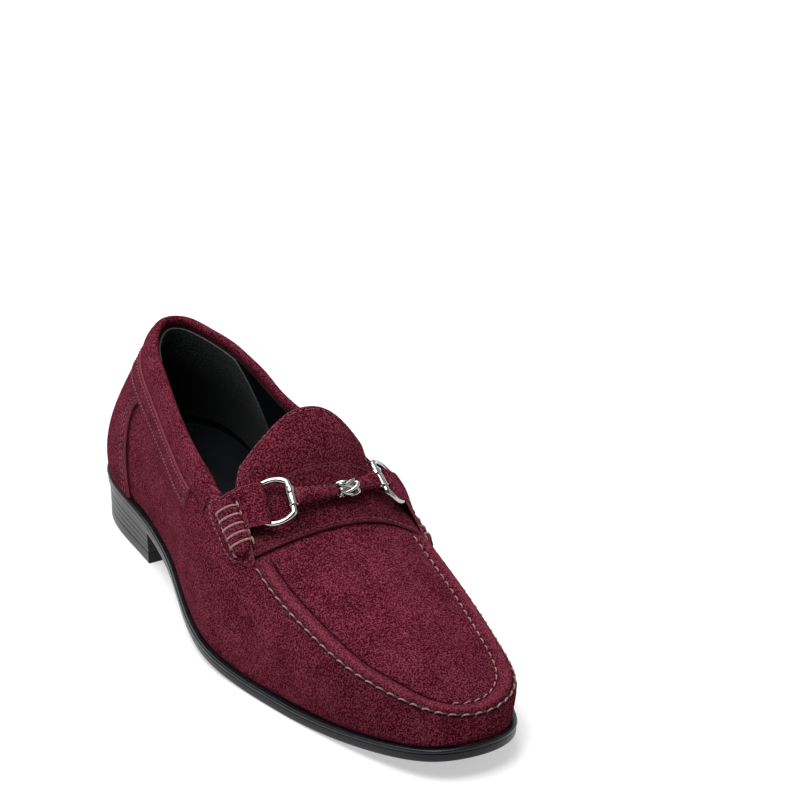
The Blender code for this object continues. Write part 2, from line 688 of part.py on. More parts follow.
def ring_frame(side_name):
    """Centre of a ring's straight bar, and its directions: outwards, along the bar, and off the foot."""
    out = unit(on_bit(RING_OUT[side_name]))
    bar = on_bit(RING_BAR[side_name])
    bar = unit(bar - out * (bar @ out))
    rise = np.cross(bar, out) * -SIDES[side_name]
    return np.array(BIT_ORIGIN) + on_bit(BAR_AT[side_name]), out, bar, rise


def ring_arc():
    """Distance of the arc's hub from the ring's straight bar, and the arc's radius."""
    radius = (RING_REACH**2 + RING_HALF_BAR**2) / (2 * RING_REACH)
    return RING_REACH - radius, radius


def tab_grid(side_name):
    """Grid of a side tab: its base on the wall, over the rim, and round the ring's wire in a fold."""
    side = SIDES[side_name]
    centre, out, bar, rise = ring_frame(side_name)
    across_tab = np.linspace(-1, 1, 9)
    grid = []
    for share, middle, half in ((1.0, 164.5, 14), (0.7, 166, 17.5), (0.35, 167.5, 18.5), (0.0, 168.5, 18)):
        row = []
        for v in across_tab:
            station = station_at(middle + half * v, side)
            drop = TAB_TOP[side] + (TAB_FOOT[side] - TAB_TOP[side]) * share
            depth = drop * (1 - 0.3 * abs(v) ** 4)
            row.append(wall_point(station, depth, TAB_RAISE))
        grid.append(row)
    radius = RING_WIRE + LOOP_PLAY + TAB_THICKNESS
    over_ring = centre + out * (RING_REACH + 1.6) + rise * radius
    crest = [over_ring + bar * (TAB_HALF_FOLD * v) for v in across_tab]
    for share, lift in ((0.35, 0.3), (0.7, 0.3)):
        row = []
        for low, high in zip(grid[3], crest):
            row.append(np.array(low) * (1 - share) + high * share + rise * lift)
        grid.append(row)
    grid.append(crest)
    loop = [(16.0, radius)]
    loop += [(FOLD_AT - FOLD_DEPTH * math.sin(a), radius * math.cos(a)) for a in np.linspace(0, math.pi, 6)]
    loop += [(FOLD_AT + 1.5, -radius)]
    for reach, height in loop:
        grid.append([centre + out * reach + bar * (TAB_HALF_FOLD * v) + rise * height for v in across_tab])
    grid = np.array(grid)
    return grid[:, ::-1] if side < 0 else grid


def roll_frame(forward, side):
    """A point of the rim beside the throat, with its directions: along the rim, off the shoe, and sideways."""
    here = wall_point(station_at(forward, side), ROLL_DOWN[side])
    along = rim(station_at(forward + 1, side)) - rim(station_at(forward - 1, side))
    along = along / np.linalg.norm(along)
    off = np.array(ROLL_OFF[side])
    off = off - along * (off @ along)
    off = off / np.linalg.norm(off)
    return here, along, off, np.cross(along, off)


def oval(here, off, sideways, turns, rise, half_height, half_width):
    """Points of an oval above a point of the wall."""
    return [here + off * (rise + half_height * math.sin(a)) + sideways * half_width * math.cos(a) for a in turns]


def build_roll_pad(name, side, parts):
    """Raised roll of suede beside the throat, with rounded ends, and the thread that binds it."""
    half_width, half_height = ROLL_PAD_HALF
    rise = TAB_RAISE + GAP + half_height + ROLL_LIFT[side]
    turns = np.linspace(0, 2 * math.pi, 14, endpoint=False)
    sections = []
    for v in np.linspace(-1, 1, 11):
        forward = sum(ROLL_PAD_SPAN) / 2 + v * (ROLL_PAD_SPAN[1] - ROLL_PAD_SPAN[0]) / 2
        here, _, off, sideways = roll_frame(forward, side)
        size = max(1 - abs(v) ** 6, 0.0) ** 0.5 * 0.75 + 0.25
        sections.append(oval(here, off, sideways, turns, rise, half_height * size, half_width * size))
    loft(name + "_beef_roll", sections, SUEDE, parts)
    turns = np.radians(np.linspace(8, 172, 9))
    path = []
    for k in range(ROLL_STITCHES):
        forward = ROLL_PAD_SPAN[0] + 4 + k * (ROLL_PAD_SPAN[1] - ROLL_PAD_SPAN[0] - 8) / (ROLL_STITCHES - 1)
        here, _, off, sideways = roll_frame(forward, side)
        clear = THREAD_RADIUS + GAP
        arc = oval(here, off, sideways, turns, rise, half_height + clear, half_width + clear)
        path += arc if k % 2 == 0 else arc[::-1]
    tube(name + "_beef_roll_thread", path, THREAD_RADIUS, THREAD, parts, sides=0)


def loft(name, sections, finish, collection):
    """Closed body through closed sections of equal point counts."""
    bm = bmesh.new()
    loops = [[bm.verts.new(place(point)) for point in section] for section in sections]
    count = len(loops[0])
    for first, second in zip(loops, loops[1:]):
        for i in range(count):
            bm.faces.new((first[i], first[(i + 1) % count], second[(i + 1) % count], second[i]))
    bm.faces.new(loops[0][::-1])
    bm.faces.new(loops[-1])
    bmesh.ops.recalc_face_normals(bm, faces=bm.faces)
    mesh = bpy.data.meshes.new(name)
    bm.to_mesh(mesh)
    bm.free()
    return add_mesh(name, mesh, finish, collection)


def build_sides(parts):
    for name, side in SIDES.items():
        shell(name + "_tab", tab_grid(name), TAB_THICKNESS, SUEDE, parts)
        build_roll_pad(name, side, parts)
    seam = np.linspace(station_at(ROLL_PAD_SPAN[1] + 3, -1), station_at(ROLL_PAD_SPAN[1] + 3, 1), 46)
    path = [wall_point(station, 0.6, GAP + THREAD_RADIUS) for station in seam]
    tube("moc_seam_thread", path, THREAD_RADIUS, THREAD, parts, sides=0)


# --- Snaffle bit -------------------------------------------------------------------------------------------
def ring_points(side_name):
    """Centre line of a D-ring: a straight bar, then an arc that bulges past its ends, with relative wire sizes."""
    centre, out, bar, _ = ring_frame(side_name)
    hub, radius = ring_arc()
    start = math.atan2(RING_HALF_BAR, -hub)
    points = [centre + bar * b for b in (-RING_HALF_BAR + 0.9, 0, RING_HALF_BAR - 0.9)]
    sizes = [BAR_WIRE / RING_WIRE] * 3
    for turn in np.linspace(start, -start, 27):
        points.append(centre + out * (hub + radius * math.cos(turn)) + bar * (radius * math.sin(turn)))
        sizes.append(1.0)
    return points, sizes


def turned(name, profile, finish, collection, steps=20):
    """Body turned about the X axis from a closed profile of (across, radius)."""
    bm = bmesh.new()
    ring = [bm.verts.new((x * MM, 0, radius * MM)) for x, radius in profile]
    edges = [bm.edges.new((ring[i], ring[(i + 1) % len(ring)])) for i in range(len(ring))]
    bmesh.ops.spin(bm, geom=ring + edges, cent=(0, 0, 0), axis=(1, 0, 0), dvec=(0, 0, 0), angle=2 * math.pi,
                   steps=steps, use_merge=True)
    bmesh.ops.remove_doubles(bm, verts=bm.verts, dist=0.002 * MM)
    bmesh.ops.recalc_face_normals(bm, faces=bm.faces)
    mesh = bpy.data.meshes.new(name)
    bm.to_mesh(mesh)
    bm.free()
    return add_mesh(name, mesh, finish, collection)


def build_roll(name, knot, bar_end, parts):
    """Suede sleeve round the rod between the knot and a ring: flat oval sections that widen towards the ring."""
    along = unit(bar_end - knot)
    thick = unit(on_bit((0, 0, 1)) - along * (on_bit((0, 0, 1)) @ along))
    wide = np.cross(thick, along)
    start, end = KNOT_HALF_LENGTH + 0.4, np.linalg.norm(bar_end - knot) - BAR_WIRE - 0.6
    grid = []
    for turn in np.linspace(0, 2 * math.pi, 20, endpoint=False):
        line = []
        for share in np.linspace(0, 1, 5):
            width, thickness = (a + (b - a) * share for a, b in zip(*ROLL_SECTIONS))
            spot = knot + along * (start + (end - start) * share)
            line.append(spot + wide * width * math.cos(turn) + thick * thickness * math.sin(turn))
        grid.append(line)
    roll = shell(name + "_roll", np.array(grid), ROLL_WALL, SUEDE, parts, wrap=True)
    ends = [knot + along * 0.9, knot + along * (end + 0.3)]
    rod = tube(name + "_rod", ends, ROD_RADIUS, STEEL, parts, sides=1)
    return roll, rod


def build_bit(parts, hinge):
    knot = np.array(BIT_ORIGIN) + on_bit(KNOT_AT)
    ends = {name: ring_frame(name)[0] for name in SIDES}
    for name in SIDES:
        for piece in build_roll(name, knot, ends[name], parts):
            keep_place_under(piece, hinge)
        points, sizes = ring_points(name)
        ring = tube(name + "_ring", points, RING_WIRE, GUNMETAL, parts, cyclic=True, sides=2)
        for point, size in zip(ring.data.splines[0].points, sizes):
            point.radius = size
        holder = joint_empty(name + "_ring_pivot", ends[name], parts)
        keep_place_under(ring, holder)
        keep_place_under(holder, hinge)
    bulge = [(KNOT_HALF_LENGTH * math.cos(a), KNOT_RADII[0] + (KNOT_RADII[1] - KNOT_RADII[0]) * math.sin(a))
             for a in np.linspace(0, math.pi, 9)]
    profile = [(KNOT_HALF_LENGTH, KNOT_BORE)] + bulge + [(-KNOT_HALF_LENGTH, KNOT_BORE)]
    piece = turned("centre_knot", profile, GUNMETAL, parts)
    line = (place(ends["medial"]) - place(ends["lateral"])).normalized()
    piece.location = place(knot)
    piece.rotation_mode = "QUATERNION"
    piece.rotation_quaternion = line.to_track_quat("X", "Z")
    keep_place_under(piece, hinge)


def main():
    for old in list(bpy.data.objects):
        bpy.data.objects.remove(old, do_unlink=True)
    parts = new_collection("snaffle_loafer")
    cutters = new_collection("cutters", hidden=True)
    build_sole(parts, cutters)
    build_upper(parts)
    build_instep(parts)
    build_tongue(parts, joint_empty("tongue_hinge", TONGUE_ROOT, parts))
    build_sides(parts)
    build_bit(parts, joint_empty("bit_hinge", BIT_ORIGIN, parts))


main()
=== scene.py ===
"""Looks of the snaffle-bit moccasin loafer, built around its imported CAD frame.

Shapes are worked out in millimetres as (across, forward, up), as in the part: "across" is negative on the
lateral side, "forward" runs from the heel towards the toe, and "up" is the height above the ground. to_frame()
turns such points into the frame's metres: +Z up, toe towards -Y, lateral side towards -X.
"""

import math

import bmesh
import bpy
import numpy as np
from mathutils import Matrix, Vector


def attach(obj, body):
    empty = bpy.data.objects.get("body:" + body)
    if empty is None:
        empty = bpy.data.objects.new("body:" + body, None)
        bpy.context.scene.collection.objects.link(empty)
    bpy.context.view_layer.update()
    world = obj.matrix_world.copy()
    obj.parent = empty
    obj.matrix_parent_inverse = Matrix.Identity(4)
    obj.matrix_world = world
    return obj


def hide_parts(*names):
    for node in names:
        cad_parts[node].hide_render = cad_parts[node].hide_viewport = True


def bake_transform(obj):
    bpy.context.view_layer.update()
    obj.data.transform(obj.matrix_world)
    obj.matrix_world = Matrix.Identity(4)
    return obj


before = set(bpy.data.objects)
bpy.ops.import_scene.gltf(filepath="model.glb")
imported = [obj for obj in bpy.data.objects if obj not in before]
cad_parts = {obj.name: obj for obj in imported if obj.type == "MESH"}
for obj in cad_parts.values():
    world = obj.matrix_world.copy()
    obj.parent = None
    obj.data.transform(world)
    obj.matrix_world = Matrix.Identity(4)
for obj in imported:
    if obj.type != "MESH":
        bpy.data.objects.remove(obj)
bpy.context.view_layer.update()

MM = 0.001
GAP = 0.35
MEDIAL_OVERHANG = 2.48
HEEL_OVERHANG = 1.58

# --- Sole and heel -----------------------------------------------------------------------------------------
OUTSOLE_THICKNESS = 3.7
WELT_THICKNESS = 1.5
WELT_TOP = OUTSOLE_THICKNESS + 0.3 + WELT_THICKNESS
FEATHER_INSET = 2.3
HEEL_FRONT = 71.0
HEEL_CENTRE = (0.0, 36.0)
TOP_LIFT_THICKNESS = 5.0
INSOLE_INSET = 7.8
INSOLE_THICKNESS = 2.0
CUSHION_THICKNESS = 3.0
SOCK_THICKNESS = 1.0

# Plan of the sole's edge, from the back of the heel along the lateral side to the toe and back along the medial
# side: (across, forward).
SOLE_PLAN = [
    (0, 0), (-14, 2.5), (-25.5, 11.5), (-32, 28), (-34, 50), (-35.2, 75), (-38.5, 101), (-44.5, 126),
    (-49.8, 151), (-50.6, 172), (-46.5, 197), (-40.5, 224), (-33, 251), (-22.5, 281),
    (-10, 299.5), (4, 304), (18, 302), (30, 293.5), (38.5, 277), (44.5, 255), (48, 228), (48.5, 203),
    (44, 178), (35.5, 150), (29.5, 122), (28.5, 95), (31, 65), (32.5, 42), (28.5, 18.5), (16, 3.5),
]
# Height of the sole's underside above the ground: (forward, up).
SOLE_PROFILE = [(0, 17.2), (35, 16.6), (72, 15.2), (100, 11.8), (130, 7), (165, 2.4), (200, 0), (225, 0),
                (250, 1.3), (275, 4.4), (304, 9.2)]

# --- Upper -------------------------------------------------------------------------------------------------
# The upper's rim, one point for each point of SOLE_PLAN: the topline round the heel, then the moccasin seam.
RIM = [
    (4.5, 11, 86), (-1, 14, 86), (-7.5, 22.5, 85.8), (-13, 34, 85), (-18.5, 52, 83.3), (-24.3, 75, 80.8),
    (-30.2, 101, 78), (-34.3, 126, 75.3), (-36, 150, 71.5), (-36.5, 171, 61), (-35, 197, 47),
    (-31.2, 224, 39), (-25, 250.5, 32), (-14, 273.5, 26.6),
    (-2, 288.5, 23.6), (8, 294, 23), (18, 294, 23), (27, 289.5, 23.3), (37, 277.5, 25.3), (41.8, 255, 29.5),
    (44, 228, 35), (44, 203, 41.2), (41.5, 177, 51.5), (36.3, 151, 67.5), (28.3, 124, 74.5),
    (23, 97, 78.3), (22.8, 67, 81.8), (20.5, 44, 84.2), (15.5, 23, 85.6), (10.5, 13.5, 86),
]
# How far the wall leans at those points, in degrees: outwards at its foot, inwards at its rim.
LEANS = [
    (16, 24), (16, 22), (12, 20), (8, 18), (6, 16), (6, 16), (6, 18), (8, 22), (8, 26), (6, 34), (4, 38),
    (4, 42), (4, 45), (4, 48), (4, 50), (4, 50), (4, 50), (4, 48), (4, 42), (4, 36),
    (5, 30), (5, 26), (3, 22), (0, 16), (-2, 10), (0, 8), (4, 10), (8, 16), (12, 20), (16, 22),
]
SKIN = 1.2
LINING_DEPTH = 3.25
LINING = 0.8
GRIP_DEPTH = 4.3
GRIP = 0.8
GRIP_SPAN = 4.6
COLLAR_WIDTH = 12.0
STRIP_WIDTH = 9.6
STRIP_END = {"lateral": 7.2, "medial": 6.2}
STRIP_LIFT = 1.5
FOXING_LIFT = 1.3
# Where the strip runs under the foxing, and how far the foxing stays above the welt.
FOXING_TOP = COLLAR_WIDTH + STRIP_WIDTH - 1.0
FOXING_CLEAR = 0.3
COLLAR_END = {"lateral": 8.0, "medial": 22.8}
TOE = 15.4

# Ridge of the instep, from the rear edge of the saddle to the middle of the toe: (across, forward, up).
RIDGE = [(6.6, 161, 77), (6.8, 172, 69.6), (7, 186, 61.5), (7.5, 202, 55), (8, 220, 48.6), (8.5, 240, 42),
         (9, 256, 37)]
APRON_REAR = 162.5
THROAT_FRONT = 184.0
SADDLE_REAR = 160.2
SADDLE_FRONT = 186.5
SADDLE_SKEW = 3.0
LIP_HEIGHT = 1.8
LIP_WIDTH = 6.5
TONGUE_ROOT = (6.6, 161.4, 76.8)
TONGUE_TOP = (6.0, 145.0, 98.3)
TONGUE_LATERAL = 38.8
TONGUE_MEDIAL = 24.5
TONGUE_ARCH = 11.0
TONGUE_THICKNESS = 1.6
SIDES = {"lateral": -1, "medial": 1}

# --- Tabs, beef rolls and bit --------------------------------------------------------------------------------
TAB_THICKNESS = 0.9
TAB_RAISE = 1.35
TAB_TOP = {-1: 0.0, 1: 6.5}
TAB_FOOT = {-1: 11.0, 1: 17.0}
TAB_HALF_FOLD = {-1: 10.0, 1: 8.0}
TAB_FOLD_SHIFT = {-1: 0.0, 1: 1.5}
TAB_FOLD_RISE = {-1: 2.8, 1: 1.7}
FOLD_AT = {-1: 12.2, 1: 10.4}
FOLD_DEPTH = 2.4
FOLD_REACH = 18.7
# Rows of a tab's base from its foot to the rim: (share of its depth, middle, half length), both forward.
TAB_ROWS = {
    -1: ((1.0, 164.5, 12.5), (0.7, 165, 15.5), (0.35, 167.5, 17), (0.0, 170.5, 15.5)),
    1: ((1.0, 164.5, 14), (0.7, 166, 17.5), (0.35, 167.5, 18.5), (0.0, 168.5, 16)),
}
ROLL_PAD_HALF = (4.9, 2.5)
ROLL_PAD_SPAN = (159.0, 181.5)
# How far the roll lies inwards from the rim, at its rear and its front end.
ROLL_IN = {-1: (2.2, 1.2), 1: (0.0, 0.0)}
ROLL_STITCHES = 5
ROLL_DOWN = {-1: 0.8, 1: 12.0}
ROLL_LIFT = {-1: 0.6, 1: 0.4}
ROLL_OFF = {-1: (-0.8, 0.25, 0.6), 1: (1.0, 0.1, 0.15)}
BIT_ORIGIN = (6.6, 178.0, 76.0)
INSTEP_SLOPE = 33.0
KNOT_AT = (4.5, 0.8, -3.0)
BAR_AT = {"lateral": (-21.0, -0.6, -2.6), "medial": (22.45, -2.95, -7.4)}
RING_OUT = {"lateral": (-0.90, -0.15, -0.41), "medial": (0.72, -0.02, -0.694)}
RING_BAR = {"lateral": (-0.12, 0.99, 0.0), "medial": (0.06, 1.0, 0.04)}
RING_REACH = 17.4
RING_HALF_BAR = 7.2
RING_WIRE = 1.2
BAR_WIRE = 1.45
# Half width and half thickness of a suede roll beside the knot and beside the ring, and its stitched seams.
ROLL_SECTIONS = ((2.5, 2.1), (3.7, 2.7))
ROLL_SEAMS = {"lateral": (1, 2), "medial": (1,)}
KNOT_HALF_LENGTH = 5.2
KNOT_CORE = 2.1
KNOT_STRAND = 0.85

# --- Stitching ---------------------------------------------------------------------------------------------
SEAM_PITCH = 5.5
SEAM_STITCH = 3.3
SEAM_THREAD = 0.36
FINE_PITCH = 2.7
FINE_STITCH = 1.9
FINE_THREAD = 0.2


# --- Curves ------------------------------------------------------------------------------------------------
def closed_curve(points):
    """Smooth closed curve through the points, as a function of the point number, which may be fractional."""
    points = np.asarray(points, float)
    count = len(points)
    steps = np.linalg.norm(np.roll(points, -1, 0) - points, axis=1) ** 0.75
    matrix = np.zeros((count, count))
    right = np.zeros_like(points)
    for i in range(count):
        before, after = steps[i - 1], steps[i]
        ahead = (i + 1) % count
        matrix[i, i - 1] += before
        matrix[i, i] += 2 * (before + after)
        matrix[i, ahead] += after
        right[i] = 6 * ((points[ahead] - points[i]) / after - (points[i] - points[i - 1]) / before)
    bends = np.linalg.solve(matrix, right)

    def at(station):
        station = np.asarray(station, float) % count
        i = np.floor(station).astype(int) % count
        j = (i + 1) % count
        b = (station - np.floor(station))[..., None]
        a = 1 - b
        h = steps[i][..., None]
        return a * points[i] + b * points[j] + h * h / 6 * ((a**3 - a) * bends[i] + (b**3 - b) * bends[j])

    return at


def open_curve(points):
    """Smooth curve through points whose second value rises: returns a function of that value."""
    points = np.asarray(points, float)
    along = points[:, 1] if points.shape[1] == 3 else points[:, 0]
    slopes = np.gradient(points, along, axis=0)

    def at(where):
        where = np.clip(np.asarray(where, float), along[0], along[-1])
        i = np.clip(np.searchsorted(along, where, side="right") - 1, 0, len(along) - 2)
        h = (along[i + 1] - along[i])[..., None]
        t = (where[..., None] - along[i][..., None]) / h
        start = (1 + 2 * t) * (1 - t) ** 2 * points[i] + t * (1 - t) ** 2 * h * slopes[i]
        end = t * t * (3 - 2 * t) * points[i + 1] - t * t * (1 - t) * h * slopes[i + 1]
        return start + end

    return at


sole_plan = closed_curve(SOLE_PLAN)
rim_and_leans = closed_curve(np.hstack([RIM, LEANS]))
ridge = open_curve(RIDGE)
sole_profile = open_curve(SOLE_PROFILE)
STATIONS = len(SOLE_PLAN)
DENSE_PLAN = sole_plan(np.linspace(0, STATIONS, 721))
CENTRE_ACROSS = (DENSE_PLAN[:, 0].min() + DENSE_PLAN[:, 0].max() + MEDIAL_OVERHANG) / 2
CENTRE_FORWARD = (DENSE_PLAN[:, 1].min() + DENSE_PLAN[:, 1].max() - HEEL_OVERHANG) / 2


def to_frame(points):
    """(across, forward, up) in millimetres to the object's frame in metres."""
    across, forward, up = np.moveaxis(np.asarray(points, float), -1, 0)
    return np.stack([across - CENTRE_ACROSS, CENTRE_FORWARD - forward, up], -1) * MM


def unit(vectors):
    vectors = np.asarray(vectors, float)
    return vectors / np.maximum(np.linalg.norm(vectors, axis=-1, keepdims=True), 1e-9)


def smooth_step(value, low, high):
    t = np.clip((np.asarray(value, float) - low) / (high - low), 0, 1)
    return t * t * (3 - 2 * t)


def rim(station):
    return rim_and_leans(station)[..., :3]


def underside(forward):
    return np.maximum(sole_profile(forward)[..., 1], 0.0)


SIDE_STATIONS = {-1: np.linspace(0.2, TOE - 0.3, 400), 1: np.linspace(STATIONS - 0.2, TOE + 0.3, 400)}
SIDE_FORWARD = {side: rim(stations)[:, 1] for side, stations in SIDE_STATIONS.items()}


def station_at(forward, side):
    """The stations where the rim is this far forward, on the lateral (-1) or medial (+1) side."""
    return np.interp(forward, SIDE_FORWARD[side], SIDE_STATIONS[side])


def run_along(points):
    """Distance along a line of points, at each of them."""
    return np.concatenate([[0], np.cumsum(np.linalg.norm(np.diff(points, axis=0), axis=1))])


RIM_STATIONS = np.linspace(0, STATIONS, 1201)
RIM_RUN = run_along(rim(RIM_STATIONS))


def run_at(station):
    """Distance along the rim, in millimetres, from the back of the heel to a station."""
    return np.interp(station, RIM_STATIONS, RIM_RUN)


# --- The wall of the upper ---------------------------------------------------------------------------------
def inset_plan(station, inset):
    """The sole's plan moved inwards, and the direction outwards."""
    step = 0.02
    along = unit(sole_plan(np.asarray(station) + step) - sole_plan(np.asarray(station) - step))
    outward = np.stack([-along[..., 1], along[..., 0]], -1)
    return sole_plan(station) - outward * np.asarray(inset)[..., None], outward


PER_STATION = 20
DOWN_SAMPLES = 80


def wall_table():
    """The wall's outer surface sampled along the stations and down from the rim, its normals and lengths."""
    stations = np.arange(STATIONS * PER_STATION + 1) / PER_STATION
    foot, outward = inset_plan(stations, FEATHER_INSET)
    foot = np.column_stack([foot, underside(foot[:, 1]) + WELT_TOP + 0.1])
    values = rim_and_leans(stations)
    top = values[:, :3]
    lean_foot, lean_rim = np.radians(values[:, 3])[:, None], np.radians(values[:, 4])[:, None]
    reach = np.linalg.norm(top - foot, axis=1)[:, None] * 1.05
    out = np.column_stack([outward, np.zeros(len(stations))])
    up = np.array([0.0, 0.0, 1.0])
    leave = (reach * (np.sin(lean_foot) * out + np.cos(lean_foot) * up))[:, None]
    arrive = (reach * (-np.sin(lean_rim) * out + np.cos(lean_rim) * up))[:, None]
    t = np.linspace(1, 0, 121)[None, :, None]
    points = (1 + 2 * t) * (1 - t) ** 2 * foot[:, None] + t * (1 - t) ** 2 * leave
    points = points + t * t * (3 - 2 * t) * top[:, None] - t * t * (1 - t) * arrive
    steps = np.linalg.norm(np.diff(points, axis=1), axis=2)
    below = np.concatenate([np.zeros((len(stations), 1)), np.cumsum(steps, axis=1)], axis=1)
    table = np.empty((len(stations), DOWN_SAMPLES + 1, 3))
    for i, heights in enumerate(below):
        wanted = np.linspace(0, heights[-1], DOWN_SAMPLES + 1)
        for k in range(3):
            table[i, :, k] = np.interp(wanted, heights, points[i, :, k])
    along = np.roll(table[:-1], -1, 0) - np.roll(table[:-1], 1, 0)
    along = np.concatenate([along, along[:1]])
    upwards = -np.gradient(table, axis=1)
    return table, unit(-np.cross(along, upwards)), below[:, -1]


WALL, WALL_NORMALS, WALL_LENGTHS = wall_table()


def wall_length(station):
    return np.interp(np.asarray(station) % STATIONS, np.arange(len(WALL_LENGTHS)) / PER_STATION, WALL_LENGTHS)


def from_table(table, row, column):
    """Value of the table between its rows and columns."""
    i = np.clip(np.floor(row).astype(int), 0, table.shape[0] - 2)
    j = np.clip(np.floor(column).astype(int), 0, table.shape[1] - 2)
    a, b = (row - i)[..., None], (column - j)[..., None]
    near = table[i, j] * (1 - b) + table[i, j + 1] * b
    far = table[i + 1, j] * (1 - b) + table[i + 1, j + 1] * b
    return near * (1 - a) + far * a


def wall(station, down, out=0.0):
    """Points on the wall at these distances below the rim, moved outwards."""
    station, down, out = np.broadcast_arrays(np.asarray(station, float), np.asarray(down, float), out)
    row = (station % STATIONS) * PER_STATION
    column = np.clip(down / wall_length(station), 0, 1) * DOWN_SAMPLES
    return from_table(WALL, row, column) + unit(from_table(WALL_NORMALS, row, column)) * out[..., None]


def wall_normal(station, down):
    station, down = np.broadcast_arrays(np.asarray(station, float), np.asarray(down, float))
    row = (station % STATIONS) * PER_STATION
    return unit(from_table(WALL_NORMALS, row, np.clip(down / wall_length(station), 0, 1) * DOWN_SAMPLES))


# --- The instep and toe surface ----------------------------------------------------------------------------
def towards_crown(foot, crown, arch, reach):
    """Points at shares of the way from the seam to the crown. arch is the slope at the seam, in degrees."""
    span = crown - foot
    flat = np.linalg.norm(span[..., :2], axis=-1, keepdims=True)
    slope = (ridge(crown[..., 1] + 0.5)[..., 2] - ridge(crown[..., 1] - 0.5)[..., 2])[..., None]
    fall = slope * span[..., 1:2] / np.maximum(flat, 1e-6)
    leave = flat * np.tan(np.radians(np.asarray(arch)))[..., None]
    r = reach[..., None]
    height = (1 + 2 * r) * (1 - r) ** 2 * foot[..., 2:] + r * (1 - r) ** 2 * leave
    height = height + r * r * (3 - 2 * r) * crown[..., 2:] - r * r * (1 - r) * flat * fall
    return np.concatenate([foot[..., :2] + span[..., :2] * r, height], -1)


def arches(forward, side):
    values = [22, 18, 16, 14] if side < 0 else [42, 40, 24, 14]
    return np.interp(forward, [162, 185, 230, 290], values)


def instep(forward, across):
    """The instep surface: across is -1 at the lateral seam, 0 at the crown and 1 at the medial seam."""
    forward, across = np.broadcast_arrays(np.asarray(forward, float), np.asarray(across, float))
    crown = ridge(forward)
    behind = np.maximum(RIDGE[0][1] - forward, 0)
    crown = crown + np.stack([0 * behind, -behind, behind * 1.15], -1)
    halves = [towards_crown(rim(station_at(forward, side)), crown, arches(forward, side), 1 - np.abs(across))
              for side in (-1, 1)]
    return np.where((across < 0)[..., None], halves[0], halves[1])


# Distances from the moccasin seam where the apron needs points for its lip, in millimetres.
LIP_STEPS = np.array([0, 0.2, 0.45, 0.8, 1.3, 1.9, 2.6, 3.3, 4.0, 4.7, 5.3, 5.8, 6.2, 6.5, 6.8, 7.1, 7.5,
                      8.1, 9.0])


def apron_lines(rows, fan, inner_steps=15):
    """Lines from seam to seam: across the instep, then fanned round the toe. Also gives each point's distance
    from the seam and its station."""
    pole = RIDGE[-1][1]
    rear = APRON_REAR - 6
    beside_saddle = SADDLE_FRONT + np.linspace(-3.5, 2, 10)
    steps = np.sort(np.concatenate([np.linspace(rear, pole, rows - 10), beside_saddle]))
    forward = np.concatenate([steps, np.full(fan, pole)])
    part = np.concatenate([np.zeros(rows), np.linspace(0, 1, fan + 1)[1:]])
    crown = ridge(forward)
    crown[:, 1] = forward
    halves = []
    for side in (-1, 1):
        station = station_at(forward, side) * (1 - part) + TOE * part
        foot = rim(station)
        arch = arches(foot[:, 1], side)
        span = np.linalg.norm((crown - foot)[:, :2], axis=1)
        near = LIP_STEPS[None] / span[:, None]
        far = near[:, -1:] + (1 - near[:, -1:]) * np.linspace(0, 1, inner_steps)[None, 1:]
        reach = np.concatenate([near, far], 1)
        points = towards_crown(foot[:, None], crown[:, None], arch[:, None], reach)
        halves.append((points, reach * span[:, None], np.repeat(station[:, None], reach.shape[1], 1)))
    lateral, medial = halves
    return [np.concatenate([low, high[:, ::-1][:, 1:]], 1) for low, high in zip(lateral, medial)]


# --- Mesh building -----------------------------------------------------------------------------------------
LOOKS = bpy.data.collections.new("loafer_looks")
bpy.context.scene.collection.children.link(LOOKS)


def spread(start, end, count, edge):
    """Even values with extra ones close to both ends, where a piece's edge is rounded."""
    extra = edge * np.array([0.12, 0.35, 0.7])
    sign = 1 if end > start else -1
    values = np.concatenate([np.linspace(start, end, count), start + sign * extra, end - sign * extra])
    return np.sort(values)[::sign]


def quads(rows, columns, start=0, wrap_rows=False, wrap_columns=False):
    index = start + np.arange(rows * columns).reshape(rows, columns)
    if wrap_rows:
        index = np.vstack([index, index[:1]])
    if wrap_columns:
        index = np.hstack([index, index[:, :1]])
    corners = (index[:-1, :-1], index[1:, :-1], index[1:, 1:], index[:-1, 1:])
    return np.stack(corners, -1).reshape(-1, 4).tolist()


def capped(rows, columns):
    """Faces of a tube of closed loops, with a cap at each end."""
    last = (rows - 1) * columns
    caps = [list(range(columns))[::-1], list(range(last, last + columns))]
    return quads(rows, columns, 0, False, True) + caps


def make_mesh(name, points, faces, values=None, sharp=60):
    """Mesh in the frame, with equal points joined and its faces turned outwards."""
    mesh = bpy.data.meshes.new(name)
    mesh.from_pydata(to_frame(points).tolist(), [], faces)
    for key, numbers in (values or {}).items():
        attribute = mesh.attributes.new(key, "FLOAT", "POINT")
        attribute.data.foreach_set("value", np.asarray(numbers, np.float32).ravel())
    bm = bmesh.new()
    bm.from_mesh(mesh)
    bmesh.ops.remove_doubles(bm, verts=bm.verts, dist=0.004 * MM)
    bmesh.ops.recalc_face_normals(bm, faces=bm.faces)
    bm.to_mesh(mesh)
    bm.free()
    mesh.shade_smooth()
    mesh.set_sharp_from_angle(angle=math.radians(sharp))
    return mesh


def add_piece(name, mesh, finish, body="root", replaced=()):
    """Adds a piece with its material, riding on a body. body None leaves it free."""
    made, slot_name = finish
    piece = bpy.data.objects.new(name, mesh)
    mesh.materials.append(made)
    LOOKS.objects.link(piece)
    if body:
        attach(piece, body)
    if replaced:
        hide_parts(*replaced)
    return piece


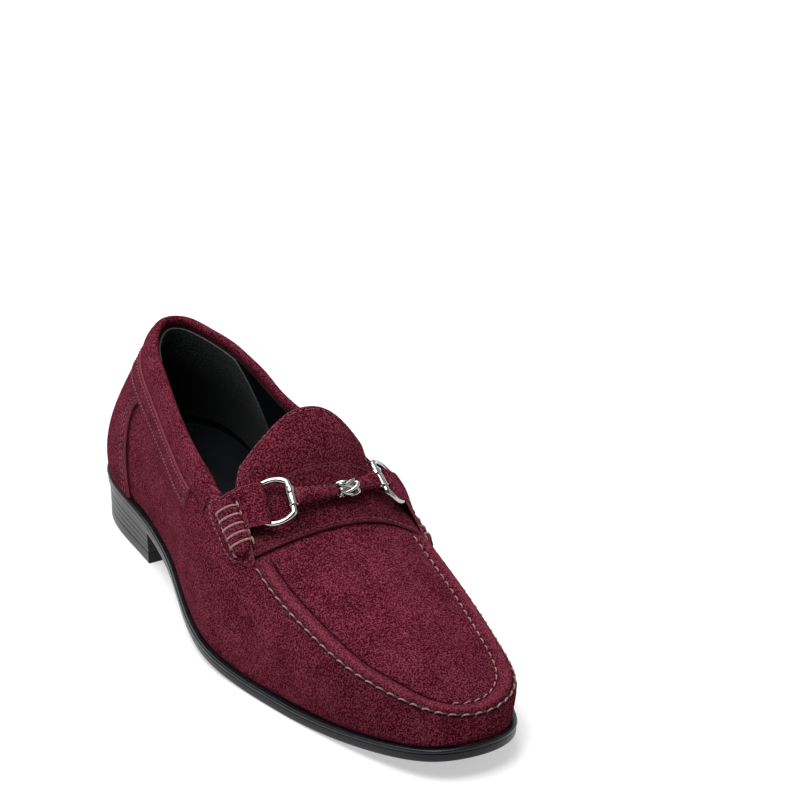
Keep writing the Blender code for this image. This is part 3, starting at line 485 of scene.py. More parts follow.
def grid_normals(grid, wrap, outer_at):
    """Normals of a grid, pointing away from the inside of the shoe at the grid point outer_at."""
    along = np.roll(grid, -1, 0) - np.roll(grid, 1, 0) if wrap else np.gradient(grid, axis=0)
    normals = unit(np.cross(along, np.gradient(grid, axis=1)))
    middle = grid[outer_at]
    away = middle - np.array([4.0, middle[1], 20.0])
    return normals if normals[outer_at] @ away > 0 else -normals


def border_distance(grid, wrap, folded_end=False):
    """Distance of each grid point from the nearest open border."""
    def both_ways(axis):
        steps = np.linalg.norm(np.diff(grid, axis=axis), axis=2)
        pad = np.zeros((1, grid.shape[1]) if axis == 0 else (grid.shape[0], 1))
        run = np.concatenate([pad, np.cumsum(steps, axis=axis)], axis=axis)
        total = run[-1:] if axis == 0 else run[:, -1:]
        return np.minimum(run, total - run)
    distance = both_ways(1)
    return distance if wrap or folded_end else np.minimum(distance, both_ways(0))


def rim_faces(rows, columns, wrap, offset, folded_end=False):
    """Faces that join the borders of two equal grids, the second starting at offset."""
    index = np.arange(rows * columns).reshape(rows, columns)
    if wrap:
        loops = [np.append(index[:, k], index[0, k]) for k in (0, -1)]
    elif folded_end:
        loops = [np.concatenate([index[::-1, 0], index[0, 1:], index[1:, -1]])]
    else:
        there, back = [index[0], index[1:, -1]], [index[-1, -2::-1], index[-2:0:-1, 0], index[0, :1]]
        loops = [np.concatenate(there + back)]
    faces = []
    for loop in loops:
        faces += [(a, b, b + offset, a + offset) for a, b in zip(loop[:-1].tolist(), loop[1:].tolist())]
    return faces


def sheet_piece(name, grid, thickness, finish, body="root", replaced=(), wrap=False, lift=0.0, bumps=0.0,
                shade=None, round_by=0.45, outer_at=None, folded_end=False, wear_and_highlight=0.0):
    """Closed piece of leather over a grid, lifted off it, with rounded edges. Gives the piece, its outer surface
    and its normals. folded_end says that the halves of the last row meet, so that it is no border."""
    rows, columns = grid.shape[:2]
    normals = grid_normals(grid, wrap, outer_at or (rows // 2, columns // 2))
    if folded_end:
        normals[-1] = unit(normals[-1] + normals[-1, ::-1])
    distance = border_distance(grid, wrap, folded_end)
    inside = np.clip(round_by - distance, 0, round_by)
    fall = round_by - np.sqrt(np.maximum(round_by**2 - inside**2, 0))
    outer = grid + normals * (lift + bumps - fall)[..., None]
    inner = grid + normals * (lift - thickness)
    points = np.concatenate([outer.reshape(-1, 3), inner.reshape(-1, 3)])
    faces = quads(rows, columns, 0, wrap) + quads(rows, columns, rows * columns, wrap)
    faces += rim_faces(rows, columns, wrap, rows * columns, folded_end)
    # Pale worn edges, raised further where a painted highlight is given.
    edge = np.maximum(np.exp(-distance / 0.32), wear_and_highlight)
    dark = np.zeros_like(edge) if shade is None else shade
    values = {"edge": np.tile(edge.ravel(), 2), "shade": np.tile(dark.ravel(), 2)}
    return add_piece(name, make_mesh(name, points, faces, values), finish, body, replaced), outer, normals


def tube(path, up, radius, sides=12, closed=False):
    """Points and faces of a round bar along a path. up is where its section starts."""
    path = np.asarray(path, float)
    tangent = unit(np.roll(path, -1, 0) - np.roll(path, 1, 0) if closed else np.gradient(path, axis=0))
    side = unit(np.cross(tangent, np.broadcast_to(up, path.shape)))
    up = np.cross(side, tangent)
    turns = np.linspace(0, 2 * math.pi, sides, endpoint=False)[None, :, None]
    radius = np.broadcast_to(radius, (len(path),))[:, None, None]
    points = path[:, None] + radius * (np.cos(turns) * side[:, None] + np.sin(turns) * up[:, None])
    faces = quads(len(path), sides, 0, True, True) if closed else capped(len(path), sides)
    return points.reshape(-1, 3), faces


def joined(bodies):
    """Several (points, faces) as one."""
    points, faces, count = [], [], 0
    for more_points, more_faces in bodies:
        points.append(more_points)
        faces += [[corner + count for corner in face] for face in more_faces]
        count += len(more_points)
    return np.concatenate(points), faces


def sampled(path, normals, run, wanted):
    place = np.stack([np.interp(wanted, run, path[:, k]) for k in range(3)], -1)
    return place, unit(np.stack([np.interp(wanted, run, normals[:, k]) for k in range(3)], -1))


def stitch_row(name, path, normals, finish, body="root", pitch=FINE_PITCH, length=FINE_STITCH,
               thread=FINE_THREAD, rise=0.8, slant=0.0):
    """Row of single stitches along a path on a surface. Their ends dive into it."""
    path, normals = np.asarray(path, float), np.asarray(normals, float)
    run = run_along(path)
    count = max(int(run[-1] // pitch), 1)
    step = run[-1] / count
    shape = np.array([-1.5, 0.1, rise, rise + 0.15, rise, 0.1, -1.5]) * thread
    bodies = []
    for k in range(count):
        wanted = (k + 0.5) * step + length * np.linspace(-0.5, 0.5, 7)
        place, up = sampled(path, normals, run, np.clip(wanted, 0, run[-1]))
        sideways = unit(np.cross(np.gradient(place, axis=0), up))
        place = place + sideways * (slant * np.linspace(-0.5, 0.5, 7))[:, None] + up * shape[:, None]
        widths = thread * np.array([0.7, 0.95, 1.0, 1.0, 1.0, 0.95, 0.7])
        bodies.append(tube(place, up, widths, 6 if thread < 0.3 else 8))
    return add_piece(name, make_mesh(name, *joined(bodies)), finish, body)


def refined(grid, times):
    """The grid with more rows and columns on smooth curves through its points."""
    def along(points):
        ends = np.concatenate([2 * points[:1] - points[1:2], points, 2 * points[-1:] - points[-2:-1]])
        rows = []
        for i in range(1, len(ends) - 2):
            p0, p1, p2, p3 = ends[i - 1:i + 3]
            for t in np.arange(times) / times:
                rows.append(0.5 * (2 * p1 + (p2 - p0) * t + (2 * p0 - 5 * p1 + 4 * p2 - p3) * t**2
                                   + (3 * p1 - p0 - 3 * p2 + p3) * t**3))
        rows.append(points[-1])
        return np.array(rows)
    return np.swapaxes(along(np.swapaxes(along(np.asarray(grid)), 0, 1)), 0, 1)


# --- Materials ---------------------------------------------------------------------------------------------
class Nodes:
    """Short calls for building one material's nodes."""

    def __init__(self, name, **settings):
        self.material = bpy.data.materials.new(name)
        self.material.use_nodes = True
        self.tree = self.material.node_tree
        self.shader = self.tree.nodes["Principled BSDF"]
        for socket, value in settings.items():
            self.shader.inputs[socket.replace("_", " ")].default_value = value
        self.place = self.tree.nodes.new("ShaderNodeTexCoord").outputs["Object"]

    def noise(self, scale, detail=3.0, roughness=0.55, place=None):
        node = self.tree.nodes.new("ShaderNodeTexNoise")
        node.inputs["Scale"].default_value = scale
        node.inputs["Detail"].default_value = detail
        node.inputs["Roughness"].default_value = roughness
        self.tree.links.new(place or self.place, node.inputs["Vector"])
        return node.outputs["Fac"]

    def stretched(self, scale):
        node = self.tree.nodes.new("ShaderNodeMapping")
        node.inputs["Scale"].default_value = scale
        self.tree.links.new(self.place, node.inputs["Vector"])
        return node.outputs["Vector"]

    def cells(self, scale):
        node = self.tree.nodes.new("ShaderNodeTexVoronoi")
        node.inputs["Scale"].default_value = scale
        self.tree.links.new(self.place, node.inputs["Vector"])
        return node.outputs["Distance"]

    def maths(self, operation, first, second):
        node = self.tree.nodes.new("ShaderNodeMath")
        node.operation = operation
        for socket, value in zip(node.inputs, (first, second)):
            if isinstance(value, (int, float)):
                socket.default_value = value
            else:
                self.tree.links.new(value, socket)
        return node.outputs[0]

    def blend_of(self, *pairs):
        """Sum of values times their weights."""
        total = 0.0
        for value, weight in pairs:
            total = self.maths("ADD", self.maths("MULTIPLY", value, weight), total)
        return total

    def ramp(self, value, *stops):
        node = self.tree.nodes.new("ShaderNodeValToRGB")
        while len(node.color_ramp.elements) < len(stops):
            node.color_ramp.elements.new(0.5)
        for element, (position, colour) in zip(node.color_ramp.elements, stops):
            element.position = position
            element.color = (*colour, 1)
        self.tree.links.new(value, node.inputs["Fac"])
        return node.outputs["Color"]

    def mix(self, share, first, second):
        node = self.tree.nodes.new("ShaderNodeMix")
        node.data_type = "RGBA"
        self.tree.links.new(share, node.inputs["Factor"])
        for socket, value in ((node.inputs[6], first), (node.inputs[7], second)):
            if isinstance(value, tuple):
                socket.default_value = (*value, 1)
            else:
                self.tree.links.new(value, socket)
        return node.outputs[2]

    def attribute(self, name):
        node = self.tree.nodes.new("ShaderNodeAttribute")
        node.attribute_name = name
        return node.outputs["Fac"]

    def bump(self, height, strength, distance):
        node = self.tree.nodes.new("ShaderNodeBump")
        node.inputs["Strength"].default_value = strength
        node.inputs["Distance"].default_value = distance
        self.tree.links.new(height, node.inputs["Height"])
        self.tree.links.new(node.outputs["Normal"], self.shader.inputs["Normal"])

    def colour(self, value):
        self.tree.links.new(value, self.shader.inputs["Base Color"])

    def roughness(self, value):
        self.tree.links.new(value, self.shader.inputs["Roughness"])


def suede(name, deep, middle, tip, edge_colour, sheen_tint):
    """Napped suede: speckled pile, cloudy brushed areas, pale worn edges, a painted highlight and painted shade.
    """
    made = Nodes(name, Roughness=1.0, Sheen_Weight=0.03, Sheen_Roughness=0.5, Sheen_Tint=(*sheen_tint, 1))
    made.shader.inputs["Specular IOR Level"].default_value = 0.0
    pile = made.noise(1350, 2, 0.8)
    hairs = made.noise(2600, 1, 0.5)
    brushed = made.noise(1.0, 3, 0.55, made.stretched((95, 60, 130)))
    clouds = made.noise(60, 3, 0.5)
    level = made.blend_of((pile, 0.8), (hairs, 0.4), (brushed, 0.1), (clouds, 0.08))
    tone = made.ramp(level, (0.6, deep), (0.69, middle), (0.785, tip))
    # The edge attribute gives pale worn edges and, on the apron's lip, a painted highlight.
    wear_and_highlight = made.maths("MULTIPLY", made.attribute("edge"), made.maths("ADD", pile, 0.1))
    tone = made.mix(wear_and_highlight, tone, edge_colour)
    # Painted shade: the shade attribute darkens creases, seams, lines beside pieces on top and dim parts.
    tone = made.mix(made.attribute("shade"), tone, tuple(0.25 * part for part in deep))
    made.colour(tone)
    made.bump(made.blend_of((pile, 0.7), (hairs, 0.4)), 0.55, 0.0005)
    return made.material


def smooth_leather(name, low, high, shine, grain=900):
    made = Nodes(name, Roughness=shine)
    made.shader.inputs["Specular IOR Level"].default_value = 0.08
    pores = made.cells(grain)
    clouds = made.noise(60, 3)
    made.colour(made.ramp(made.blend_of((clouds, 0.8), (pores, 0.35)), (0.3, low), (0.75, high)))
    made.roughness(made.maths("ADD", made.maths("MULTIPLY", clouds, 0.2), shine - 0.1))
    made.bump(made.blend_of((pores, 0.8), (made.noise(260), 0.6)), 0.25, 0.0003)
    return made.material


def sole_edge(name, low, high, shine, stretch):
    """Black sole leather and rubber: inked and waxed, with fine marks along the edge."""
    made = Nodes(name, Roughness=shine)
    made.shader.inputs["Specular IOR Level"].default_value = 0.22
    marks = made.noise(1.0, 4, 0.6, made.stretched(stretch))
    dust = made.noise(700, 2)
    made.colour(made.ramp(made.blend_of((marks, 0.75), (dust, 0.25)), (0.35, low), (0.7, high)))
    made.roughness(made.maths("ADD", made.maths("MULTIPLY", marks, 0.22), shine - 0.1))
    made.bump(made.blend_of((marks, 0.8), (dust, 0.3)), 0.16, 0.0003)
    return made.material


def metal(name, low, high, shine):
    made = Nodes(name, Roughness=shine, Metallic=1.0)
    wear = made.noise(300, 3)
    made.colour(made.ramp(wear, (0.3, low), (0.7, high)))
    made.roughness(made.maths("ADD", made.maths("MULTIPLY", wear, 0.14), shine - 0.06))
    made.bump(made.noise(900, 2), 0.04, 0.0001)
    return made.material


def thread_of(name, low, high):
    """Twisted waxed thread: ply bands seen across it."""
    made = Nodes(name, Roughness=0.6, Sheen_Weight=0.2)
    twist = made.noise(1900, 2)
    made.colour(made.ramp(made.blend_of((twist, 0.8), (made.noise(160), 0.2)), (0.35, low), (0.65, high)))
    made.bump(twist, 0.5, 0.0002)
    return made.material


def grained(name, low, high, scale, depth):
    made = Nodes(name, Roughness=0.9)
    grains = made.cells(scale)
    mottle = made.noise(scale * 0.6, 3)
    made.colour(made.ramp(made.blend_of((grains, 0.6), (mottle, 0.6)), (0.3, low), (0.75, high)))
    made.bump(made.blend_of((grains, 0.7), (mottle, 0.4)), 0.6, depth)
    return made.material


SUEDE = (suede("burgundy_suede_nap", (0.022, 0.0008, 0.003), (0.07, 0.0055, 0.0155), (0.185, 0.038, 0.058),
               (0.24, 0.05, 0.072), (1.0, 0.25, 0.35)), "burgundy_suede")
GREY_SUEDE = (suede("charcoal_suede_nap", (0.012, 0.015, 0.015), (0.04, 0.045, 0.045), (0.085, 0.09, 0.09),
                    (0.06, 0.064, 0.064), (0.8, 0.8, 0.85)), "charcoal_suede")
LINING_LEATHER = (smooth_leather("black_lining", (0.0012, 0.0014, 0.002), (0.004, 0.0045, 0.006), 0.6),
                  "black_lining_leather")
SOLE = (sole_edge("black_sole_edge", (0.0025, 0.0028, 0.004), (0.008, 0.0085, 0.011), 0.33, (60, 60, 900)),
        "black_sole")
WELT = (sole_edge("polished_welt_edge", (0.004, 0.0045, 0.006), (0.012, 0.0125, 0.015), 0.2, (60, 60, 900)),
        "black_sole")
STACK = (sole_edge("inked_heel_stack", (0.007, 0.0075, 0.009), (0.024, 0.025, 0.028), 0.36, (40, 40, 1500)),
         "heel_stack")
NICKEL = (metal("dark_polished_nickel", (0.3, 0.3, 0.3), (0.5, 0.5, 0.49), 0.12), "gunmetal")
STEEL = (metal("plain_steel", (0.3, 0.3, 0.31), (0.5, 0.5, 0.52), 0.38), "steel")
PALE_THREAD = (thread_of("pale_waxed_thread", (0.13, 0.04, 0.042), (0.4, 0.2, 0.18)), "waxed_thread")
RED_THREAD = (thread_of("burgundy_thread", (0.1, 0.018, 0.03), (0.23, 0.07, 0.09)), "waxed_thread")
DEEP_THREAD = (thread_of("dark_thread", (0.045, 0.003, 0.009), (0.12, 0.02, 0.034)), "waxed_thread")
# Painted shade: near-black marks that stand for the shadowed stitch holes of the moccasin seam.
STITCH_HOLE_SHADE = (thread_of("painted_stitch_hole_shade", (0.004, 0.001, 0.0015), (0.012, 0.002, 0.004)), "waxed_thread")
BLACK_THREAD = (thread_of("black_thread", (0.004, 0.004, 0.005), (0.02, 0.02, 0.022)), "waxed_thread")
BOARD = (grained("pressed_fibreboard", (0.26, 0.17, 0.09), (0.46, 0.33, 0.2), 500, 0.0002), "fibreboard")
FOAM = (grained("open_cell_foam", (0.5, 0.46, 0.36), (0.78, 0.74, 0.62), 1400, 0.0003), "foam")
CORK = (grained("ground_cork", (0.16, 0.09, 0.045), (0.46, 0.31, 0.18), 380, 0.0006), "cork")


def finish_inner_nodes():
    """The CAD nodes inside the shoe stay, each with its own material."""
    kept = {
        "insole_board": BOARD, "heel_counter": BOARD, "toe_puff": BOARD, "heel_cushion": FOAM,
        "collar_foam": FOAM, "forepart_filler": CORK, "heel_seat_filler": CORK, "shank": STEEL,
        "lateral_rod": STEEL, "medial_rod": STEEL,
    }
    kept.update({f"heel_nail_{number}": STEEL for number in range(1, 6)})
    for name, (made, _) in kept.items():
        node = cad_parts[name]
        for place in node.material_slots:
            place.material = made


# --- Sole and heel -----------------------------------------------------------------------------------------
def outline_stations(count=220):
    """Stations up the lateral side and up the medial side, in pairs, from the heel to the toe."""
    share = (1 - np.cos(math.pi * np.linspace(0, 1, count))) / 2
    return TOE * share, STATIONS - (STATIONS - TOE) * share


def plate_points(inset, height, columns, count=220):
    """Grid over the sole's plan. height is a function of the distance forward."""
    lateral, medial = (inset_plan(stations, inset)[0] for stations in outline_stations(count))
    share = np.linspace(0, 1, columns)[None, :, None]
    flat = lateral[:, None] * (1 - share) + medial[:, None] * share
    return np.concatenate([flat, height(flat[..., 1])[..., None]], -1)


def sole_body(name, profile, finish, replaced, columns=9):
    """Body over the sole's whole plan. profile lists (inset, height above the underside) upwards."""
    def at(rise):
        return lambda forward: underside(forward) + rise
    levels = [plate_points(inset, at(rise), 2) for inset, rise in profile]
    loops = [np.concatenate([level[:, 0], level[::-1, 1]]) for level in levels]
    wall_faces = quads(len(loops), len(loops[0]), 0, False, True)
    bodies = [(np.concatenate(loops), wall_faces)]
    for inset, rise in (profile[0], profile[-1]):
        cap = plate_points(inset, at(rise), columns)
        bodies.append((cap.reshape(-1, 3), quads(*cap.shape[:2])))
    return add_piece(name, make_mesh(name, *joined(bodies), sharp=50), finish, "root", replaced)


def build_bottom():
    sole_body("outsole_body", [(1.3, 0.0), (0.9, 0.12), (0.62, 0.5), (0.5, 1.1), (0.45, 2.0), (0.4, 3.0),
                               (0.45, 3.5), (0.6, 3.75)], SOLE, ["outsole"])
    top = OUTSOLE_THICKNESS
    sole_body("welt_rim", [(0.65, top + 0.1), (0.4, top + 0.2), (0.14, top + 0.5), (0.05, top + 0.95),
                           (0.12, top + 1.35), (0.38, top + 1.65), (0.8, top + 1.82), (2.6, top + 1.86),
                           (3.2, top + 1.5)], WELT, ["welt"])
    build_heel()


def heel_outline(inset, front, count=90):
    """Closed outline of the heel: round the back to the lateral side, then along the breast."""
    stations = np.linspace(-6, 6, 4 * count)
    plan, _ = inset_plan(stations, inset)
    kept = plan[plan[:, 1] <= front]
    across = np.linspace(kept[-1, 0], kept[0, 0], 31)[1:-1]
    half = (kept[0, 0] - kept[-1, 0]) / 2
    middle = (kept[0, 0] + kept[-1, 0]) / 2
    breast = np.column_stack([across, front - 1.6 * (1 - ((across - middle) / half) ** 2)])
    run = run_along(kept)
    wanted = np.linspace(0, run[-1], 2 * count)
    back = np.stack([np.interp(wanted, run, kept[:, k]) for k in range(2)], -1)
    return np.concatenate([back, breast])


def heel_layer(name, levels, finish, replaced):
    """Heel body through levels of (inset, height function)."""
    loops = []
    for inset, height in levels:
        outline = heel_outline(inset, HEEL_FRONT)
        loops.append(np.column_stack([outline, height(outline[:, 1])]))
    faces = quads(len(loops), len(loops[0]), 0, False, True)
    bodies = [(np.concatenate(loops), faces)]
    centre = np.array(HEEL_CENTRE)
    for loop, (_, height) in ((loops[0], levels[0]), (loops[-1], levels[-1])):
        plans = [centre + (loop[:, :2] - centre) * size for size in (1, 0.5, 0.02)]
        rings = [loop] + [np.column_stack([plan, height(plan[:, 1])]) for plan in plans[1:]]
        middle = list(range(2 * len(loop), 3 * len(loop)))
        bodies.append((np.concatenate(rings), quads(3, len(loop), 0, False, True) + [middle]))
    return add_piece(name, make_mesh(name, *joined(bodies), sharp=50), finish, "root", replaced)


def build_heel():
    low, lifts = TOP_LIFT_THICKNESS + 0.15, 4
    def between(share):
        return lambda forward: low + (underside(forward) - 0.05 - low) * share
    levels = []
    for k in range(lifts):
        for share, groove in ((0.0, 0.22), (0.05, 0.06), (0.14, 0.0), (0.86, 0.0), (0.95, 0.06), (1.0, 0.22)):
            part = (k + share) / lifts
            levels.append((1.75 - 0.55 * part + groove, between(part)))
    heel_layer("heel_lifts", levels, STACK, ["heel_block"])
    rise = [(2.2, 0.0), (1.95, 0.12), (1.82, 0.45), (1.75, 1.2), (1.7, 3.8), (1.72, 4.5), (1.85, 4.9)]
    levels = [(inset, lambda forward, up=up: np.full_like(forward, up)) for inset, up in rise]
    heel_layer("heel_tread", levels, SOLE, ["heel_top_lift"])


def build_sock():
    """Sock over the insole, with a raised heel cushion and a rounded edge."""
    base = WELT_TOP + 2 * GAP + INSOLE_THICKNESS
    def top(forward):
        pad = np.interp(forward, [76, 100], [CUSHION_THICKNESS + GAP, 0])
        return underside(forward) + base + pad + SOCK_THICKNESS
    grid = plate_points(INSOLE_INSET - 2.2, top, 41, 160)
    cross = np.linspace(-1, 1, 41)[None]
    grid[..., 2] += 1.6 * np.abs(cross) ** 5
    outer = grid + np.array([0, 0, 0.05])
    bodies = [(outer.reshape(-1, 3), quads(*grid.shape[:2]))]
    under = grid - np.array([0, 0, 1.0])
    bodies.append((under.reshape(-1, 3), quads(*grid.shape[:2])))
    loops = [np.concatenate([level[:, 0], level[::-1, -1]]) for level in (outer, under)]
    bodies.append((np.concatenate(loops), quads(2, len(loops[0]), 0, False, True)))
    add_piece("sock", make_mesh("sock", *joined(bodies)), LINING_LEATHER, "root", ["sock_liner"])
    inset = plate_points(INSOLE_INSET + 1.8, top, 2, 160)
    path = np.concatenate([inset[:, 0], inset[::-1, 1]])
    path[:, 2] += 0.1
    stitch_row("sock_stitches", path, np.tile([0.0, 0.0, 1.0], (len(path), 1)), BLACK_THREAD)


# --- Upper -------------------------------------------------------------------------------------------------
def vamp_top(station):
    """The vamp stops under the collar at the sides and reaches the moccasin seam in front of the tabs."""
    ahead = np.minimum(station - COLLAR_END["lateral"], COLLAR_END["medial"] - station)
    return np.interp(ahead, [-1.2, -0.2, 0.1], [COLLAR_WIDTH - 2.0, 2.0, 0.0])


def toe_gather(station):
    """How strongly the seam is gathered: most round the toe."""
    forward = rim(station)[..., 1]
    return 0.15 + 0.85 * smooth_step(forward, 235, 280)


def soft_waves(points, size):
    """Shallow unevenness of soft leather, in millimetres."""
    x, y, z = points[..., 0], points[..., 1], points[..., 2]
    waves = np.sin(x / 9.1 + 1.3 * np.sin(y / 23.0)) * np.sin(y / 13.7 + z / 11.0)
    waves = waves + 0.6 * np.sin(y / 7.3 + 2.1) * np.sin(z / 6.1 + x / 17.0)
    return size * waves


def contact(distance, width):
    """Painted shadow: a dark line beside the edge of a piece that lies on top."""
    return 0.85 * np.exp(-(((distance - 0.3) / width) ** 2))


def vamp_shade(grid, stations, downs, length):
    """Painted shadow lines beside the strip and the foxing, and painted shade over the toe and beside the welt."""
    around = np.minimum(stations, STATIONS - stations)[:, None]
    station_length = 2.0 * (run_at(1.0) - run_at(0.5))
    end = np.where(stations < TOE, STRIP_END["lateral"], STRIP_END["medial"])[:, None]
    strip = contact(downs - COLLAR_WIDTH - STRIP_WIDTH, 0.7) * (around < end)
    share = np.clip((downs - FOXING_TOP) / (length[:, None] - FOXING_CLEAR - FOXING_TOP), 0, 1)
    foxing = contact((around - foxing_front(share)) * station_length, 0.7) * (downs > FOXING_TOP + 1)
    toe = 0.38 * smooth_step(grid[..., 1], 215, 285)
    welt = 0.7 * np.exp(-(((length[:, None] - downs) / 1.6) ** 2))
    return np.maximum(np.maximum(strip, foxing), np.maximum(toe, welt))


def build_vamp():
    stations = np.arange(0, STATIONS, 0.04)
    top = vamp_top(stations)
    length = wall_length(stations)
    near = np.array([0, 0.2, 0.45, 0.8, 1.2, 1.7, 2.3, 3.0, 4.0, 5.2, 7, 9, 11, 11.4, 11.7, 12.0, 12.4, 12.9,
                     13.6])
    share = np.linspace(0, 1, 23)[None, 1:]
    downs = top[:, None] + np.concatenate([np.repeat(near[None], len(top), 0),
                                           near[-1] + (length - top - near[-1])[:, None] * share], 1)
    grid = wall(stations[:, None], downs)
    free = (top < 0.01)[:, None]
    run = run_at(stations)[:, None]
    gather = toe_gather(stations)[:, None] * free
    below = downs - top[:, None]
    bumps = -0.55 * np.exp(-((below / 0.9) ** 2)) * free + 0.35 * np.exp(-(((below - 2.2) / 1.5) ** 2)) * free
    bumps = bumps + gather * 0.32 * np.cos(2 * math.pi * run / SEAM_PITCH) * np.exp(-below / 3.2)
    bumps = bumps + soft_waves(grid, 0.22) * smooth_step(below, 4, 12)
    bumps = bumps - 0.5 * np.exp(-(((length[:, None] - downs) / 1.2) ** 2))
    shade = np.maximum(0.75 * np.exp(-((below / 0.7) ** 2)) * free, vamp_shade(grid, stations, downs, length))
    sheet_piece("vamp_suede", grid, SKIN, SUEDE, replaced=["vamp"], wrap=True, bumps=bumps, shade=shade,
                round_by=0.2, outer_at=(0, 20))


def apron_bumps(reach, station, forward):
    """Raised moccasin lip beside the seam, its inner crease, and the gathers that the stitches pull."""
    ahead = smooth_step(forward, THROAT_FRONT, THROAT_FRONT + 7)
    share = np.clip(reach / LIP_WIDTH, 0, 1)
    lip = LIP_HEIGHT * np.sin(math.pi * share ** 0.85) ** 0.75
    lip = lip * (1 - 0.12 * share)
    crease = -0.5 * np.exp(-(((reach - 6.75) / 0.45) ** 2))
    edge = -0.7 * np.exp(-((reach / 0.45) ** 2))
    run = run_at(station)
    gather = 0.3 * toe_gather(station) * np.cos(2 * math.pi * run / SEAM_PITCH)
    gather = gather * np.exp(-(((reach - 1.5) / 2.2) ** 2))
    return ahead * (lip + crease + edge + gather)


def build_apron():
    grid, reach, station = apron_lines(120, 110)
    bumps = apron_bumps(reach, station, grid[..., 1])
    ahead = smooth_step(grid[..., 1], THROAT_FRONT, THROAT_FRONT + 7)
    shade = ahead * (0.7 * np.exp(-((reach / 0.5) ** 2)) + 0.85 * np.exp(-(((reach - 6.8) / 0.5) ** 2)))
    lateral = np.clip((RIDGE[2][0] - grid[..., 0]) / 43.0, 0, 1)
    shade = np.maximum(shade, contact(grid[..., 1] - SADDLE_FRONT + SADDLE_SKEW * lateral, 0.9))
    shade = np.maximum(shade, 0.12 * smooth_step(grid[..., 1], 235, 275))
    from_pole = np.linalg.norm(grid - grid[-1, grid.shape[1] // 2], axis=2)
    bumps = bumps + soft_waves(grid, 0.16) * smooth_step(reach, 10, 22) * smooth_step(from_pole, 3, 16)
    # Painted highlight: the lip's crest takes the pale edge colour.
    wear_and_highlight = 0.45 * ahead * np.exp(-(((reach - 3.2) / 1.5) ** 2))
    sheet_piece("apron_suede", grid, SKIN, SUEDE, replaced=["apron"], bumps=bumps, shade=shade, round_by=0.15,
                outer_at=(60, 33), folded_end=True, wear_and_highlight=wear_and_highlight)
    inner = grid[2:, 5:-5]
    sheet_piece("apron_lining_leather", inner, LINING, LINING_LEATHER, replaced=["apron_lining"],
                lift=-SKIN - 0.3, outer_at=(60, 28), folded_end=True)


def build_seam_stitches():
    start, end = station_at(187.0, -1), station_at(189.0, 1)
    stations = np.linspace(start, end, 900)
    medial = smooth_step(stations, TOE + 1.2, TOE + 3.0)[:, None]
    normals = unit(wall_normal(stations, 0.3) + np.array([0, 0, 0.9]) * (1 - medial))
    path = rim(stations) + wall_normal(stations, 0.5) * 0.35 + np.array([0, 0, 0.25])
    path = path * (1 - medial) + wall(stations, 1.3, 0.05) * medial
    seam = stitch_row("moc_seam_stitches", path, normals, PALE_THREAD, pitch=SEAM_PITCH, length=SEAM_STITCH,
                      thread=SEAM_THREAD, rise=0.75, slant=0.5)
    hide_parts("moc_seam_thread")
    # Painted shade of the stitch holes: dark marks between the pale stitches.
    half = int(np.searchsorted(run_at(stations), run_at(start) + SEAM_PITCH / 2))
    stitch_row("moc_seam_painted_hole_shade", path[half:-half], normals[half:-half], STITCH_HOLE_SHADE, pitch=SEAM_PITCH,
               length=2.4, thread=0.34, rise=0.1)
    stitch_row("moc_lip_stitches", *lip_line(LIP_WIDTH + 0.5), PALE_THREAD, pitch=4.6, length=3.0,
               thread=0.33, rise=0.6, slant=0.4)


def lip_line(inset):
    """Line on the apron this far inside the seam, round the toe and back medially, with its normals."""
    grid, reach, _ = apron_lines(120, 110)
    values = np.concatenate([grid, grid_normals(grid, False, (60, 33))], 2)
    rows = np.flatnonzero(grid[:, 0, 1] > 188)
    sides = []
    for half in (slice(0, 34), slice(None, 32, -1)):
        sides.append([[np.interp(inset, reach[i, half], values[i, half, k]) for k in range(6)] for i in rows])
    line = np.array(sides[0][-30:] + sides[1][::-1])
    return line[:, :3], line[:, 3:]


def stitch_on_wall(name, stations, downs, out):
    stitch_row(name, wall(stations, downs, out), wall_normal(stations, downs), DEEP_THREAD)


def build_strip_and_foxing():
    first, last = STATIONS - STRIP_END["medial"], STATIONS + STRIP_END["lateral"]
    stations = spread(first, last, 420, 0.03)
    downs = spread(COLLAR_WIDTH + 0.4, COLLAR_WIDTH + STRIP_WIDTH, 14, 0.6)
    grid = wall(stations[:, None], downs[None, :])
    sheet_piece("collar_strip_suede", grid, 1.2, SUEDE, replaced=["collar_strip"], lift=STRIP_LIFT,
                bumps=soft_waves(grid, 0.06), outer_at=(200, 6))
    run = np.linspace(first + 0.08, last - 0.08, 800)
    for name, down in (("upper", COLLAR_WIDTH + 2.0), ("lower", COLLAR_WIDTH + STRIP_WIDTH - 1.8)):
        stitch_on_wall(f"collar_strip_{name}_stitches", run, down, STRIP_LIFT)
    downs = np.linspace(COLLAR_WIDTH + 1.6, COLLAR_WIDTH + STRIP_WIDTH - 1.4, 20)
    for name, end in (("medial", first + 0.08), ("lateral", last - 0.08)):
        stitch_on_wall(f"strip_{name}_end_stitches", np.full(20, end), downs, STRIP_LIFT)
    build_foxing()


def foxing_front(share):
    """Stations from the middle of the back to the foxing's front edge, at shares of its height from the top."""
    return 3.78 - 0.55 * np.sin(math.pi * np.clip(share, 0, 1) ** 0.6) * (1 - share) + 0.2 * share**2


def foxing_downs(stations, share):
    """Distances below the rim at shares of the foxing's height from its top."""
    return FOXING_TOP + (wall_length(stations) - FOXING_CLEAR - FOXING_TOP) * share


